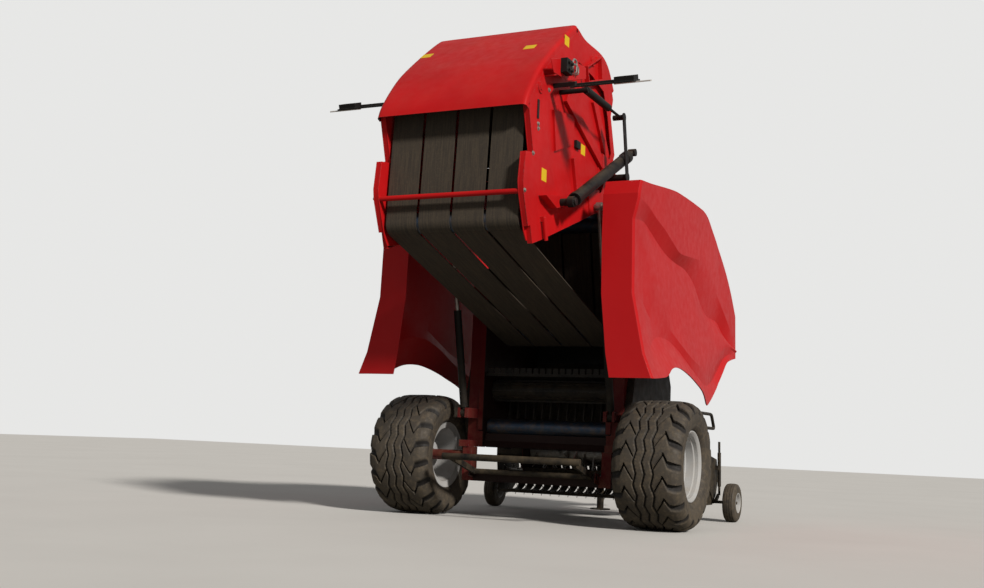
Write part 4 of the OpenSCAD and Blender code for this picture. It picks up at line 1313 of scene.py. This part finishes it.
def camera_axes():
    """Right, up and forward of the photograph's camera."""
    azimuth, pitch, roll = (math.radians(a) for a in (CAMERA_AZIMUTH, CAMERA_PITCH, CAMERA_ROLL))
    forward = Vector((-math.sin(azimuth) * math.cos(pitch), math.cos(azimuth) * math.cos(pitch), math.sin(pitch)))
    level = Vector((math.cos(azimuth), math.sin(azimuth), 0))
    above = level.cross(forward)
    right = math.cos(roll) * level + math.sin(roll) * above
    up = math.cos(roll) * above - math.sin(roll) * level
    return right, up, forward


class SetStage(bpy.types.Operator):
    """Makes the floor, the light and the camera"""

    bl_idname = "baler.set_stage"
    bl_label = "Set the stage"

    # Two tones of the floor as the camera sees it, and the one that throws light back on the object
    FLOOR, FLOOR_PATCH, FLOOR_BOUNCE = (0.80, 0.79, 0.77), (0.76, 0.75, 0.73), (0.26, 0.25, 0.22)
    LAMP, SKY, BACKDROP = (1.0, 0.95, 0.88), (0.98, 0.97, 0.95), (0.80, 0.80, 0.79)
    # Share of the backdrop that a gloss shows, and how far off the lamp's holder stands, in metres
    GLOSS_SHARE, LAMP_AWAY = 0.3, 12

    def execute(self, context):
        studio = context.scene.baler_studio
        self.make_floor(studio.floor_size)
        self.make_world(studio.world_light)
        self.make_key(studio)
        self.make_camera()
        context.scene.view_settings.view_transform = "Standard"
        return {"FINISHED"}

    def make_floor(self, size):
        bpy.ops.mesh.primitive_plane_add(size=size)
        floor = bpy.context.object
        floor.name = "floor"
        n = FinishNodes("floor_paint")
        tone = n.mix(n.ramp(n.noise(0.6), 0.3, 0.7), self.FLOOR, self.FLOOR_PATCH)
        path = n.add("ShaderNodeLightPath").outputs
        seen = n.maths("MAXIMUM", path["Is Camera Ray"], path["Is Transmission Ray"])
        n.join(n.mix(seen, self.FLOOR_BOUNCE, tone), n.shader.inputs["Base Color"])
        n.shader.inputs["Roughness"].default_value = 0.9
        floor.data.materials.append(n.material)

    def make_key(self, studio):
        """One far lamp, high behind the camera and to its right."""
        lamp = bpy.data.lights.new("key_lamp", "SUN")
        lamp.energy = studio.key_power
        lamp.color = self.LAMP
        lamp.angle = studio.key_width
        holder = bpy.data.objects.new("key_lamp", lamp)
        holder.location = KEY_SIDE * self.LAMP_AWAY
        holder.rotation_euler = KEY_SIDE.to_track_quat("Z", "Y").to_euler()
        bpy.context.scene.collection.objects.link(holder)

    def make_world(self, strength):
        """Even pale light, and a white backdrop where the camera or a gloss looks past the object."""
        world = bpy.data.worlds.new("studio")
        n = Nodes(world)
        n.tree.nodes.clear()
        path = n.add("ShaderNodeLightPath").outputs
        gloss = n.maths("MULTIPLY", path["Is Glossy Ray"], self.GLOSS_SHARE)
        seen = n.maths("MAXIMUM", path["Is Camera Ray"], n.maths("MAXIMUM", path["Is Transmission Ray"], gloss))
        mixed = n.add("ShaderNodeMixShader")
        n.join(seen, mixed.inputs["Fac"])
        for socket, colour, power in ((mixed.inputs[1], self.SKY, strength), (mixed.inputs[2], self.BACKDROP, 1.0)):
            light = n.add("ShaderNodeBackground")
            light.inputs["Color"].default_value = (*colour, 1.0)
            light.inputs["Strength"].default_value = power
            n.join(light.outputs["Background"], socket)
        n.join(mixed.outputs["Shader"], n.add("ShaderNodeOutputWorld").inputs["Surface"])
        bpy.context.scene.world = world

    def make_camera(self):
        data = bpy.data.cameras.new("camera")
        data.lens = CAMERA_LENS
        camera = bpy.data.objects.new("camera", data)
        right, up, forward = camera_axes()
        axes = Matrix((right, up, -forward)).transposed().to_4x4()
        camera.matrix_world = Matrix.Translation(CAMERA_PLACE) @ axes
        bpy.context.scene.collection.objects.link(camera)
        bpy.context.scene.camera = camera


class BalerPanel(bpy.types.Panel):
    """Lists the baler's sizes, colours and steps"""

    bl_idname = "VIEW3D_PT_baler"
    bl_label = "Round baler"
    bl_space_type = "VIEW_3D"
    bl_region_type = "UI"
    bl_category = "Baler"

    def draw(self, context):
        scene = context.scene
        for group in (scene.baler_sizes, scene.baler_colours, scene.baler_studio):
            box = self.layout.box()
            for name in group.bl_rna.properties.keys():
                if name not in ("name", "rna_type"):
                    box.prop(group, name)
        for step in STEPS:
            self.layout.operator(step.bl_idname)


STEPS = (
    SetStage, PaintNodes, FitTyres, FitRims, FitPanels, FitHood, FitTailgate, FitBelts, FitTension, FitBoards, FitRails,
    FitFittings, SoftenEdges,
)
CLASSES = (BalerSizes, BalerColours, BalerStudio, *STEPS, BalerPanel)


def register():
    for cls in CLASSES:
        bpy.utils.register_class(cls)
    bpy.types.Scene.baler_sizes = bpy.props.PointerProperty(type=BalerSizes)
    bpy.types.Scene.baler_colours = bpy.props.PointerProperty(type=BalerColours)
    bpy.types.Scene.baler_studio = bpy.props.PointerProperty(type=BalerStudio)


def unregister():
    del bpy.types.Scene.baler_studio
    del bpy.types.Scene.baler_colours
    del bpy.types.Scene.baler_sizes
    for cls in reversed(CLASSES):
        bpy.utils.unregister_class(cls)


def main():
    register()
    for step in STEPS:
        group, name = step.bl_idname.split(".")
        getattr(getattr(bpy.ops, group), name)()


if __name__ == "__main__":
    main()
